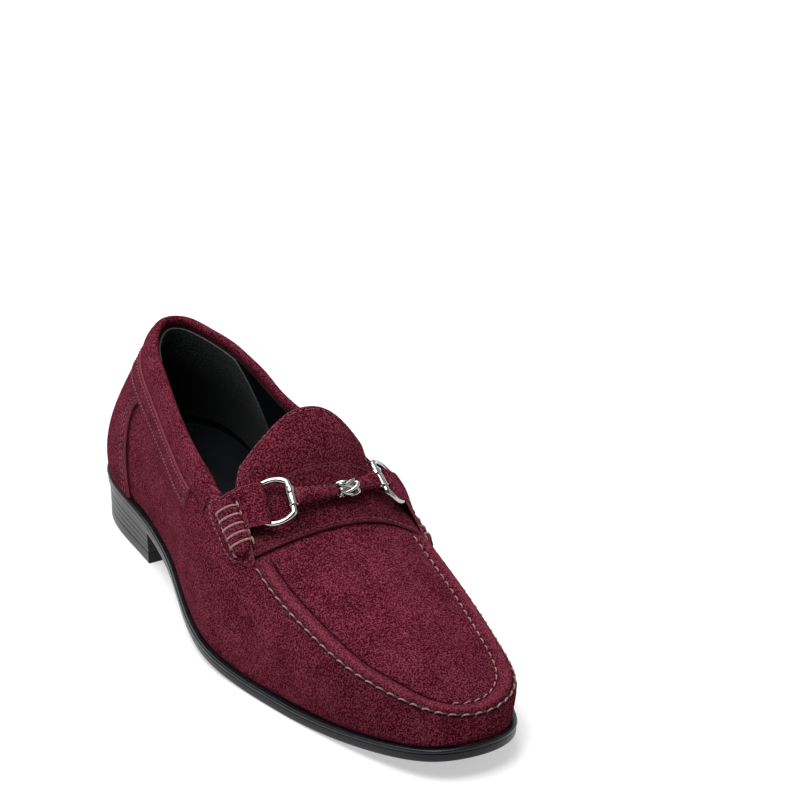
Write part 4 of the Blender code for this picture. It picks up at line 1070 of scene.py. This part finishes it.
def build_foxing():
    share = spread(0, 1, 30, 0.012)
    across = spread(-1, 1, 240, 0.008)
    stations = STATIONS + across[:, None] * foxing_front(share)[None]
    grid = wall(stations, foxing_downs(stations, share[None]))
    sheet_piece("heel_foxing_suede", grid, 1.15, SUEDE, replaced=["heel_foxing"], lift=FOXING_LIFT,
                bumps=soft_waves(grid, 0.08), outer_at=(120, 12))
    share = np.linspace(0.03, 0.97, 120)
    for name, inset in (("outer", 0.09), ("inner", 0.2)):
        for side_name, side in SIDES.items():
            stations = STATIONS - side * (foxing_front(share) - inset)
            downs = foxing_downs(stations, share)
            stitch_on_wall(f"{side_name}_foxing_{name}_stitches", stations, downs, FOXING_LIFT)


def collar_section(down_end):
    """Closed section of the padded collar, as (distance below the rim, distance off the wall)."""
    belly = np.linspace(0, 1, 15)
    outer = [(down_end - (down_end - 1.9) * t, 0.35 + 1.25 * math.sin(math.pi * min(t * 1.04, 1)) ** 0.8
              + 0.25 * t) for t in belly]
    roll = [(1.9 - 1.9 * math.sin(a), -1.45 + 2.05 * math.cos(a)) for a in np.linspace(0, math.pi, 11)[1:]]
    inner = [(1.9 + t, -3.5 - 0.1 * t) for t in (1.2, 2.4, 3.6)]
    under = [(5.0, -1.3), (6.5, -1.2), (8.0, -1.2), (10.0, -1.2), (down_end - 0.4, -0.9)]
    return np.array(outer + roll + inner + under)


def build_collar():
    """Padded collar round the topline: stuffed out a little by cloth simulation, and held along its seams."""
    stations = np.linspace(COLLAR_END["medial"] + 0.1, STATIONS + COLLAR_END["lateral"] - 0.1, 250)
    section = collar_section(COLLAR_WIDTH + 0.7)
    tuck = smooth_step(stations, stations[-1] - 0.35, stations[-1])[:, None]
    grid = wall(stations[:, None], section[None, :, 0] + 2.2 * tuck, section[None, :, 1] - 0.9 * tuck)
    grid[..., 2] += np.maximum(1.9 - section[:, 0], 0)[None] * 0.1
    run = run_at(stations % STATIONS)[:, None]
    puffs = 0.16 * np.sin(run / 6.3 + 1.7 * np.sin(run / 31.0))
    puffs = puffs * np.sin(np.linspace(0, math.pi, len(section)))[None]
    grid = grid + wall_normal(stations, 10.0)[:, None] * puffs[..., None]
    rows, columns = grid.shape[:2]
    shade = 0.8 * np.exp(-np.abs(section[:, 0] - COLLAR_WIDTH - 0.7) / 0.9) * (section[:, 1] > -0.6)
    shade = np.maximum(shade, 0.45 * smooth_step(-section[:, 1], 1.5, 3.2))
    values = {"shade": np.tile(shade, (rows, 1))}
    mesh = make_mesh("collar_suede", grid.reshape(-1, 3), capped(rows, columns), values, sharp=75)
    collar = add_piece("collar_suede", mesh, SUEDE, None)
    held = [k for k in range(columns) if k < 2 or k > columns - 9]
    puff_up(collar, [i * columns + k for i in range(rows) for k in held], 0.0011)
    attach(collar, "root")
    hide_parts("collar_band")
    run = np.linspace(stations[0] + 0.1, stations[-1] - 0.1, 900)
    stitch_on_wall("collar_seam_stitches", run, COLLAR_WIDTH - 1.2, 0.62)


def puff_up(piece, held, most):
    """Blows a closed mesh up with cloth pressure and keeps the shape. No point moves more than most, in metres."""
    scene = bpy.context.scene
    rest = np.array([vertex.co for vertex in piece.data.vertices])
    group = piece.vertex_groups.new(name="held")
    group.add(held, 1.0, "REPLACE")
    cloth = piece.modifiers.new("Cloth", "CLOTH")
    cloth.settings.quality = 5
    cloth.settings.mass = 0.15
    cloth.settings.tension_stiffness = 25
    cloth.settings.compression_stiffness = 25
    cloth.settings.bending_stiffness = 4
    cloth.settings.vertex_group_mass = "held"
    cloth.settings.use_pressure = True
    cloth.settings.uniform_pressure_force = 3.0
    cloth.settings.effector_weights.gravity = 0
    cloth.collision_settings.use_collision = False
    cloth.point_cache.frame_start, cloth.point_cache.frame_end = 1, 12
    for number in range(1, 13):
        scene.frame_set(number)
    shaped = piece.evaluated_get(bpy.context.evaluated_depsgraph_get())
    moved = np.array([vertex.co for vertex in shaped.data.vertices])
    piece.modifiers.clear()
    scene.frame_set(1)
    step = moved - rest
    size = np.linalg.norm(step, axis=1, keepdims=True)
    step = step * np.minimum(1, most / np.maximum(size, 1e-9))
    step = np.where(np.isfinite(step), step, 0)
    piece.data.vertices.foreach_set("co", (rest + step).ravel())
    piece.data.update()


def build_linings():
    stations = np.linspace(0, STATIONS, 500, endpoint=False)
    ahead = np.minimum(stations - COLLAR_END["lateral"], COLLAR_END["medial"] - stations)
    top = np.interp(ahead, [-0.5, 0.5], [3.6, 5.0])
    share = np.linspace(0, 1, 22)
    downs = top[:, None] + (wall_length(stations) - 0.5 - top)[:, None] * share[None]
    grid = wall(stations[:, None], downs)
    sheet_piece("wall_lining_leather", grid, LINING, LINING_LEATHER, wrap=True, lift=-LINING_DEPTH,
                bumps=soft_waves(grid, 0.15), outer_at=(0, 10), replaced=["quarter_lining", "vamp_lining"])
    around = spread(-GRIP_SPAN, GRIP_SPAN, 200, 0.03)
    share = spread(0, 1, 22, 0.012)
    pulled = STATIONS + around[:, None] * (1 - 0.28 * (1 - share[None]) ** 2 + 0.1 * share[None])
    downs = 3.4 + (wall_length(pulled) - 12 - 3.4) * share[None]
    grid = wall(pulled, downs)
    shade = 0.92 * smooth_step(downs, 4, 34)
    sheet_piece("heel_grip_suede", grid, GRIP, GREY_SUEDE, replaced=["heel_grip"],
                lift=-GRIP_DEPTH + GRIP - 0.75, shade=shade, outer_at=(100, 12))


def build_saddle():
    """Saddle strap over the instep, tucked under the tabs at both ends."""
    across = spread(-0.985, 0.9, 91, 0.02)
    share = spread(0, 1, 25, 0.02)
    lateral = np.clip(-across, 0, 1)
    front = SADDLE_FRONT - SADDLE_SKEW * lateral
    forward = SADDLE_REAR + (front[:, None] - SADDLE_REAR) * share[None]
    grid = instep(forward, across[:, None])
    bumps = soft_waves(grid, 0.12) - 0.75 * smooth_step(across, 0.45, 0.72)[:, None]
    _, outer, normals = sheet_piece("saddle_suede", grid, 1.25, SUEDE, replaced=["saddle_strap"], lift=1.5,
                                    bumps=bumps, shade=np.full(grid.shape[:2], 0.3), outer_at=(45, 12))
    width = np.linalg.norm(grid[:, -1] - grid[:, 0], axis=1)
    for name, wanted in (("rear", 1.7 / width), ("front", 1 - 1.6 / width)):
        path = [[np.interp(w, share, line[:, k]) for k in range(3)] for w, line in zip(wanted, outer)]
        stitch_row(f"saddle_{name}_stitches", path, normals[:, 12], DEEP_THREAD)


# --- Tongue ------------------------------------------------------------------------------------------------
def tongue_surface(t, xi):
    root, tip = np.array(TONGUE_ROOT), np.array(TONGUE_TOP)
    t = t * (1 - 0.42 * np.abs(xi) ** 3.2)
    width = np.where(xi < 0, TONGUE_LATERAL - 18.0 * np.maximum(t, 0) ** 2, TONGUE_MEDIAL)
    arch = TONGUE_ARCH * xi * xi * np.where(xi < 0, 1.0, 1.15)
    centre = root + (tip - root) * t[..., None]
    bow = 1.6 * np.sin(math.pi * np.clip(t, 0, 1))
    back = 3.5 * xi * xi * np.clip(t, 0, 1)
    return np.stack([centre[..., 0] + width * xi, centre[..., 1] - back + bow * 0.8,
                     centre[..., 2] - arch + bow * 0.6], -1)


def tongue_grid():
    """The tongue, from its end under the saddle to its free top. Its root rises smoothly off the instep."""
    t = np.concatenate([np.linspace(-0.35, -0.03, 9), spread(0, 1, 44, 0.02)[1:]])
    xi = spread(-1, 1, 90, 0.016)
    points = tongue_surface(t[:, None] * np.ones_like(xi), xi[None] * np.ones_like(t)[:, None])
    under = t < 0
    forward = 162.0 - t[under] * 27
    share = np.where(xi < 0, xi * 0.9, xi * 0.8)
    points[under] = instep(forward[:, None], share[None]) - np.array([0, 0, 0.35])
    mend = smooth_step(t, -0.1, 0.18)[:, None, None]
    flat = instep(np.full((len(t), 1), 161.5), share[None]) - np.array([0, 0, 0.2])
    near = (t >= 0) & (t < 0.18)
    lying = flat + (points - points[~under][0])
    points[near] = (lying * (1 - mend) + points * mend)[near]
    return points


def build_tongue():
    grid = tongue_grid()[::-1]
    middle = grid.shape[0] // 3, grid.shape[1] // 2
    bumps = soft_waves(grid, 0.12) + 0.3 * np.exp(-((border_distance(grid, False) - 1.1) / 0.7) ** 2)
    tongue, outer, normals = sheet_piece("tongue_suede", grid, TONGUE_THICKNESS, SUEDE, None, bumps=bumps,
                                         round_by=0.7, outer_at=middle)
    lining, _, _ = sheet_piece("tongue_lining_leather", grid[1:-1, 2:-2], 0.9, LINING_LEATHER, None,
                               lift=-TONGUE_THICKNESS, outer_at=middle)
    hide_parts("tongue")
    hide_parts("tongue_lining")
    stitches = stitch_row("tongue_edge_stitches", *tongue_edge_line(outer, normals), RED_THREAD, None)
    for piece in (tongue, lining, stitches):
        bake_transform(piece)


def tongue_edge_line(outer, normals, inset=2.3):
    """Line on the tongue this far inside its free edge, up, over the top and down, with its normals."""
    rows, columns = outer.shape[:2]
    bottom = int(rows * 0.72)
    values = np.concatenate([outer, normals], 2)

    def inside(line):
        run = run_along(line[:, :3])
        return [np.interp(inset, run, line[:, k]) for k in range(6)]

    rising = [inside(values[row]) for row in range(bottom, 4, -1)]
    over = [inside(values[:, column]) for column in range(4, columns - 4)]
    falling = [inside(values[row, ::-1]) for row in range(5, bottom)]
    start, end = rising[-1][0] + 0.5, falling[0][0] - 0.5
    rising += [spot for spot in over if spot[0] > start]
    line = np.array([spot for spot in rising if spot[0] < end] + falling)
    return line[:, :3], line[:, 3:]


# --- Tabs and beef rolls -----------------------------------------------------------------------------------
def on_bit(offset):
    """Turns (across, down the instep's slope, off the foot) into (across, forward, up)."""
    slope = math.radians(INSTEP_SLOPE)
    down_slope = np.array([0, math.cos(slope), -math.sin(slope)])
    off_foot = np.array([0, math.sin(slope), math.cos(slope)])
    return np.array([offset[0], 0, 0]) + down_slope * offset[1] + off_foot * offset[2]


def ring_frame(side_name):
    """Centre of a ring's straight bar, and its directions: outwards, along the bar, and off the foot."""
    out = unit(on_bit(RING_OUT[side_name]))
    bar = on_bit(RING_BAR[side_name])
    bar = unit(bar - out * (bar @ out))
    rise = np.cross(bar, out) * -SIDES[side_name]
    return np.array(BIT_ORIGIN) + on_bit(BAR_AT[side_name]), out, bar, rise


def ring_arc():
    """Distance of the arc's hub from the ring's straight bar, and the arc's radius."""
    radius = (RING_REACH**2 + RING_HALF_BAR**2) / (2 * RING_REACH)
    return RING_REACH - radius, radius


def tab_control(side_name):
    """Coarse rows of a side tab: its base on the wall, over the rim, and round the ring's wire in a fold."""
    side = SIDES[side_name]
    centre, out, bar, rise = ring_frame(side_name)
    across_tab = np.linspace(-1, 1, 9)
    grid = []
    for share, middle, half in TAB_ROWS[side]:
        stations = station_at(middle + half * across_tab, side)
        drop = TAB_TOP[side] + (TAB_FOOT[side] - TAB_TOP[side]) * share
        grid.append(wall(stations, drop * (1 - 0.3 * np.abs(across_tab) ** 4), TAB_RAISE))
    radius = TAB_FOLD_RISE[side]
    offset = TAB_FOLD_SHIFT[side] + TAB_HALF_FOLD[side] * across_tab
    along = bar * offset[:, None]
    hub, arc = ring_arc()
    reach = np.full(9, FOLD_REACH) if side < 0 else hub + np.sqrt(np.maximum(arc**2 - offset**2, 4.0))
    crest = centre + out * (reach + 1.6)[:, None] + along + rise * radius
    for share in (0.35, 0.7):
        grid.append(grid[3] * (1 - share) + crest * share + rise * 0.3)
    grid.append(crest)
    fold = FOLD_AT[side]
    turns = np.linspace(0, math.pi, 6)
    loop = [((fold + FOLD_REACH) / 2, radius)]
    loop += [(fold - FOLD_DEPTH * math.sin(a), radius * math.cos(a)) for a in turns]
    loop += [(fold + 1.5, -radius)]
    back = (reach - reach.max())[:, None]
    grid += [centre + out * (place + 0.7 * back) + along + rise * height for place, height in loop]
    grid = np.array(grid)
    return grid[:, ::-1] if side < 0 else grid


def build_tab(side_name):
    grid = refined(tab_control(side_name), 7)
    name = f"{side_name}_tab"
    _, outer, normals = sheet_piece(f"{name}_suede", grid, TAB_THICKNESS, SUEDE, replaced=[name],
                                    outer_at=(4, grid.shape[1] // 2), round_by=0.4)
    border = [(row, 4) for row in range(44, 3, -1)] + [(3, column) for column in range(4, grid.shape[1] - 4)]
    border += [(row, -5) for row in range(4, 45)]
    path, ups = [outer[at] for at in border], [normals[at] for at in border]
    stitch_row(f"{name}_stitches", path, ups, RED_THREAD)


def roll_frame(forward, side):
    """A point of the rim beside the throat, and its directions: along the rim, off the shoe and sideways."""
    here = wall(station_at(forward, side), ROLL_DOWN[side])
    along = unit(rim(station_at(forward + 1, side)) - rim(station_at(forward - 1, side)))
    off = np.array(ROLL_OFF[side])
    off = unit(off - along * (off @ along))
    sideways = np.cross(along, off)
    inwards = np.interp(forward, ROLL_PAD_SPAN, ROLL_IN[side])
    return here + sideways * inwards, along, off, sideways


def build_beef_roll(side_name):
    """Stuffed roll of suede beside the throat: pinched by the thread that binds it, with rounded ends."""
    side = SIDES[side_name]
    half_width, half_height = ROLL_PAD_HALF
    rise = TAB_RAISE + half_height + ROLL_LIFT[side] - 0.6
    length = ROLL_PAD_SPAN[1] - ROLL_PAD_SPAN[0]
    threads = [ROLL_PAD_SPAN[0] + 4 + k * (length - 8) / (ROLL_STITCHES - 1) for k in range(ROLL_STITCHES)]
    turns = np.linspace(0, 2 * math.pi, 36, endpoint=False)
    sections = []
    for v in np.sin(np.linspace(-math.pi / 2, math.pi / 2, 90)):
        forward = sum(ROLL_PAD_SPAN) / 2 + v * length / 2
        here, _, off, sideways = roll_frame(forward, side)
        size = math.sqrt(max(1 - abs(v) ** 5, 0.0)) * 0.92 + 0.08
        pinch = 1 - 0.2 * sum(math.exp(-(((forward - at) / 0.7) ** 2)) for at in threads)
        height = half_height * size * pinch * np.sin(turns)
        across = half_width * size * (0.5 + 0.5 * pinch) * np.cos(turns)
        sections.append(here + off * (rise + height)[:, None] + sideways * across[:, None])
    name = f"{side_name}_beef_roll"
    mesh = make_mesh(f"{name}_suede", np.concatenate(sections), capped(len(sections), len(turns)))
    pad = add_piece(f"{name}_suede", mesh, SUEDE, "root", [name])
    bodies = []
    for at in threads:
        here, along, off, sideways = roll_frame(at, side)
        angles = np.radians(np.linspace(-22, 202, 25))
        up = rise + (half_height * 0.86 + 0.3) * np.sin(angles)
        across = (half_width * 0.93 + 0.35) * np.cos(angles)
        tilt = 0.9 * np.cos(angles)
        path = here + off * up[:, None] + sideways * across[:, None] + along * tilt[:, None]
        bodies.append(tube(path, along, 0.5, 10))
    mesh = make_mesh(f"{name}_binding", *joined(bodies))
    add_piece(f"{name}_binding", mesh, PALE_THREAD, "root", [f"{name}_thread"])
    for edge_name, edge in (("rear", -1), ("front", 1)):
        path, ups = [], []
        for forward in np.linspace(ROLL_PAD_SPAN[0] + 2.5, ROLL_PAD_SPAN[1] - 1, 60):
            here, along, off, sideways = roll_frame(forward, side)
            path.append(here + off * (rise - half_height * 0.45) + sideways * edge * (half_width + 0.35))
            ups.append(unit(off + sideways * edge * 0.8))
        stitch_row(f"{name}_{edge_name}_stitches", path, ups, PALE_THREAD, pitch=4.4, length=3.2, thread=0.45,
                   rise=0.6)


# --- Snaffle bit -------------------------------------------------------------------------------------------
def build_ring(side_name):
    """D-ring: a straight bar, then an arc that bulges past the bar's ends."""
    centre, out, bar, rise = ring_frame(side_name)
    hub, radius = ring_arc()
    start = math.atan2(RING_HALF_BAR, -hub)
    straight = np.linspace(-RING_HALF_BAR + 1.1, RING_HALF_BAR - 1.1, 30)
    turns = np.linspace(start - 0.02, -start + 0.02, 140)
    path = np.concatenate([
        centre + bar * straight[:, None],
        centre + out * (hub + radius * np.cos(turns))[:, None] + bar * (radius * np.sin(turns))[:, None],
    ])
    nearness = np.clip(((path - centre) @ out) / 5.0, 0, 1)
    wire = BAR_WIRE + (RING_WIRE - BAR_WIRE) * nearness + 0.12 * np.sin(math.pi * np.clip(nearness, 0, 1))
    name = f"{side_name}_ring"
    mesh = make_mesh(f"{name}_metal", *tube(path, rise, wire, 24, closed=True))
    add_piece(f"{name}_metal", mesh, NICKEL, name, [name])


def turned_body(origin, axis, up, profile, sides=28):
    """Points and faces of a body turned about an axis, from (distance along, radius)."""
    profile = np.array(profile)
    return tube(origin + np.asarray(axis) * profile[:, :1], up, profile[:, 1], sides)


def roll_section(share):
    """Half width and half thickness of a suede roll, at a share of the way from the knot to the ring."""
    return [start + (end - start) * share for start, end in zip(*ROLL_SECTIONS)]


def build_half_bit(side_name, knot):
    """Suede sleeve between the knot and a ring, and the metal knuckle that holds the ring's bar."""
    centre, out, bar, rise = ring_frame(side_name)
    along = unit(centre - knot)
    off_foot = on_bit((0, 0, 1))
    thick = unit(off_foot - along * (off_foot @ along))
    wide = np.cross(thick, along)
    start, end = KNOT_HALF_LENGTH - 0.9, np.linalg.norm(centre - knot) - BAR_WIRE - 0.9
    share = spread(0, 1, 40, 0.03)
    turns = np.linspace(0, 2 * math.pi, 40, endpoint=False)
    grid = []
    for s in share:
        width, thickness = roll_section(s)
        flare = 1 + 0.1 * math.exp(-(1 - s) / 0.06) - 0.12 * math.exp(-s / 0.05)
        crease = 1 - 0.05 * math.sin(9 * s) * math.sin(4 * s + 1)
        rounding = 1 - 0.25 * math.exp(-s / 0.012) - 0.12 * math.exp(-(1 - s) / 0.01)
        size = flare * crease * rounding
        spot = knot + along * (start + (end - start) * s)
        seam = 1 - 0.16 * np.exp(-((np.mod(turns + math.pi / 2, 2 * math.pi) - 0.9) / 0.14) ** 2)
        grid.append(spot + wide * (width * size * seam * np.cos(turns))[:, None]
                    + thick * (thickness * size * seam * np.sin(turns))[:, None])
    ends = np.minimum(share, 1 - share) * (end - start)
    values = {"edge": np.repeat(np.exp(-ends / 0.5), len(turns))}
    name = f"{side_name}_roll"
    mesh = make_mesh(f"{name}_suede", np.concatenate(grid), capped(len(share), len(turns)), values)
    add_piece(f"{name}_suede", mesh, SUEDE, "bit", [name])
    for number in ROLL_SEAMS[side_name]:
        turn = turns[4] if number == 1 else turns[-4]
        path = []
        for s in np.linspace(0.06, 0.94, 40):
            width, thickness = roll_section(s)
            spot = knot + along * (start + (end - start) * s)
            path.append(spot + wide * (width * math.cos(turn)) + thick * (thickness * math.sin(turn)))
        ups = np.tile(unit(wide * math.cos(turn) + thick * math.sin(turn)), (40, 1))
        stitch_row(f"{name}_stitches_{number}", path, ups, DEEP_THREAD, "bit", pitch=2.4, length=1.6)
    build_knuckle(side_name, centre, along, bar)


def build_knuckle(side_name, centre, along, bar):
    """Rolled sleeve round the ring's bar with a short neck towards the suede roll."""
    offset = centre - along * 0.35
    half = 4.6
    sleeve = [(-half - 0.02, 1.5), (-half, 2.0), (-half + 0.35, 2.22), (-1.2, 2.12), (-1.0, 1.95),
              (-0.75, 1.95), (-0.55, 2.12), (half - 0.9, 2.12), (half - 0.35, 2.3), (half, 2.05),
              (half + 0.02, 1.5)]
    neck = [(-3.6, 1.5), (-2.6, 1.55), (-1.6, 1.35), (-0.4, 1.2)]
    bodies = [turned_body(offset, bar, along, sleeve), turned_body(centre, along, bar, neck, 20)]
    name = f"{side_name}_knuckle"
    add_piece(name, make_mesh(name, *joined(bodies), sharp=40), NICKEL, "bit")


def build_knot(knot, axis):
    """Centre piece: a three-strand knotted ring of wire round a core."""
    up = unit(on_bit((0, 0, 1)) - axis * (on_bit((0, 0, 1)) @ axis))
    side = np.cross(up, axis)
    s = np.linspace(0, 2 * math.pi, 420, endpoint=False)
    weave = 5 * s
    turn = 3 * s
    radius = KNOT_CORE + KNOT_STRAND * 0.75 + 0.42 * np.sin(2 * weave)
    radial = up * np.cos(turn)[:, None] + side * np.sin(turn)[:, None]
    half = KNOT_HALF_LENGTH - KNOT_STRAND - 0.2
    path = knot + axis * (half * np.cos(weave))[:, None] + radial * radius[:, None]
    bodies = [tube(path, radial, KNOT_STRAND, 12, closed=True)]
    core = [(-4.4, 0.9), (-4.2, 1.7), (-3.4, KNOT_CORE), (3.4, KNOT_CORE), (4.2, 1.7), (4.4, 0.9)]
    bodies.append(turned_body(knot, axis, up, core))
    mesh = make_mesh("knotted_centre_metal", *joined(bodies), sharp=40)
    add_piece("knotted_centre_metal", mesh, NICKEL, "centre_knot", ["centre_knot"])


def build_bit():
    knot = np.array(BIT_ORIGIN) + on_bit(KNOT_AT)
    for name in SIDES:
        build_ring(name)
        build_half_bit(name, knot)
    build_knot(knot, unit(ring_frame("medial")[0] - ring_frame("lateral")[0]))


# --- Stage -------------------------------------------------------------------------------------------------
CAMERA_TARGET = Vector((0.100588, 0.104847, 0.040))
CAMERA_BACK = Vector((-0.4039, -0.8101, 0.4250)).normalized()
CAMERA_DISTANCE = 2.5
CAMERA_LENS = 253.6


def build_stage():
    made = Nodes("white_floor", Roughness=0.8, Emission_Color=(1, 1, 1, 1), Emission_Strength=0.5)
    made.shader.inputs["Specular IOR Level"].default_value = 0.1
    made.colour(made.ramp(made.noise(6), (0.3, (0.5, 0.5, 0.505)), (0.7, (0.52, 0.52, 0.525))))
    bpy.ops.mesh.primitive_plane_add(size=30, location=(0, 0, -0.0002))
    floor = bpy.context.object
    floor.name = "studio_floor"
    floor.data.materials.append(made.material)
    build_surroundings()
    bpy.context.scene.view_settings.view_transform = "Standard"


def build_surroundings():
    """Pale studio walls, with a darker one in front of the toe that gives the metal its contrast."""
    world = bpy.data.worlds.new("studio")
    world.use_nodes = True
    tree = world.node_tree
    towards = tree.nodes.new("ShaderNodeVectorMath")
    towards.operation = "DOT_PRODUCT"
    towards.inputs[1].default_value = CAMERA_BACK
    tree.links.new(tree.nodes.new("ShaderNodeTexCoord").outputs["Generated"], towards.inputs[0])
    shades = tree.nodes.new("ShaderNodeValToRGB")
    for element, (position, level) in zip(shades.color_ramp.elements, ((0.15, 1.0), (0.75, 0.2))):
        element.position = position
        element.color = (level, level, level, 1)
    tree.links.new(towards.outputs["Value"], shades.inputs["Fac"])
    tree.links.new(shades.outputs["Color"], tree.nodes["Background"].inputs["Color"])
    tree.nodes["Background"].inputs["Strength"].default_value = 0.5
    bpy.context.scene.world = world


def area_light(name, place, size, power, target=(0, 0, 0.05)):
    light = bpy.data.lights.new(name, "AREA")
    light.shape = "RECTANGLE"
    light.size, light.size_y = size
    light.energy = power
    lamp = bpy.data.objects.new(name, light)
    lamp.location = place
    lamp.rotation_euler = (Vector(target) - Vector(place)).to_track_quat("-Z", "Y").to_euler()
    bpy.context.scene.collection.objects.link(lamp)


def build_lights_and_camera():
    area_light("key_softbox", (-0.6, -0.1, 2.0), (1.5, 1.5), 54)
    area_light("fill_softbox", (1.3, -1.6, 1.0), (0.7, 1.4), 3)
    area_light("rear_softbox", (0.1, 1.3, 1.6), (1.4, 0.8), 14)
    camera = bpy.data.objects.new("camera", bpy.data.cameras.new("camera"))
    camera.data.sensor_width = 36
    camera.data.lens = CAMERA_LENS
    camera.data.clip_end = 50
    camera.location = CAMERA_TARGET + CAMERA_BACK * CAMERA_DISTANCE
    camera.rotation_euler = (-CAMERA_BACK).to_track_quat("-Z", "Y").to_euler()
    bpy.context.scene.collection.objects.link(camera)
    bpy.context.scene.camera = camera


def main():
    build_lights_and_camera()
    build_stage()
    finish_inner_nodes()
    build_bottom()
    build_sock()
    build_linings()
    build_vamp()
    build_apron()
    build_seam_stitches()
    build_strip_and_foxing()
    build_collar()
    build_saddle()
    build_tongue()
    for side_name in SIDES:
        build_tab(side_name)
        build_beef_roll(side_name)
    build_bit()


main()
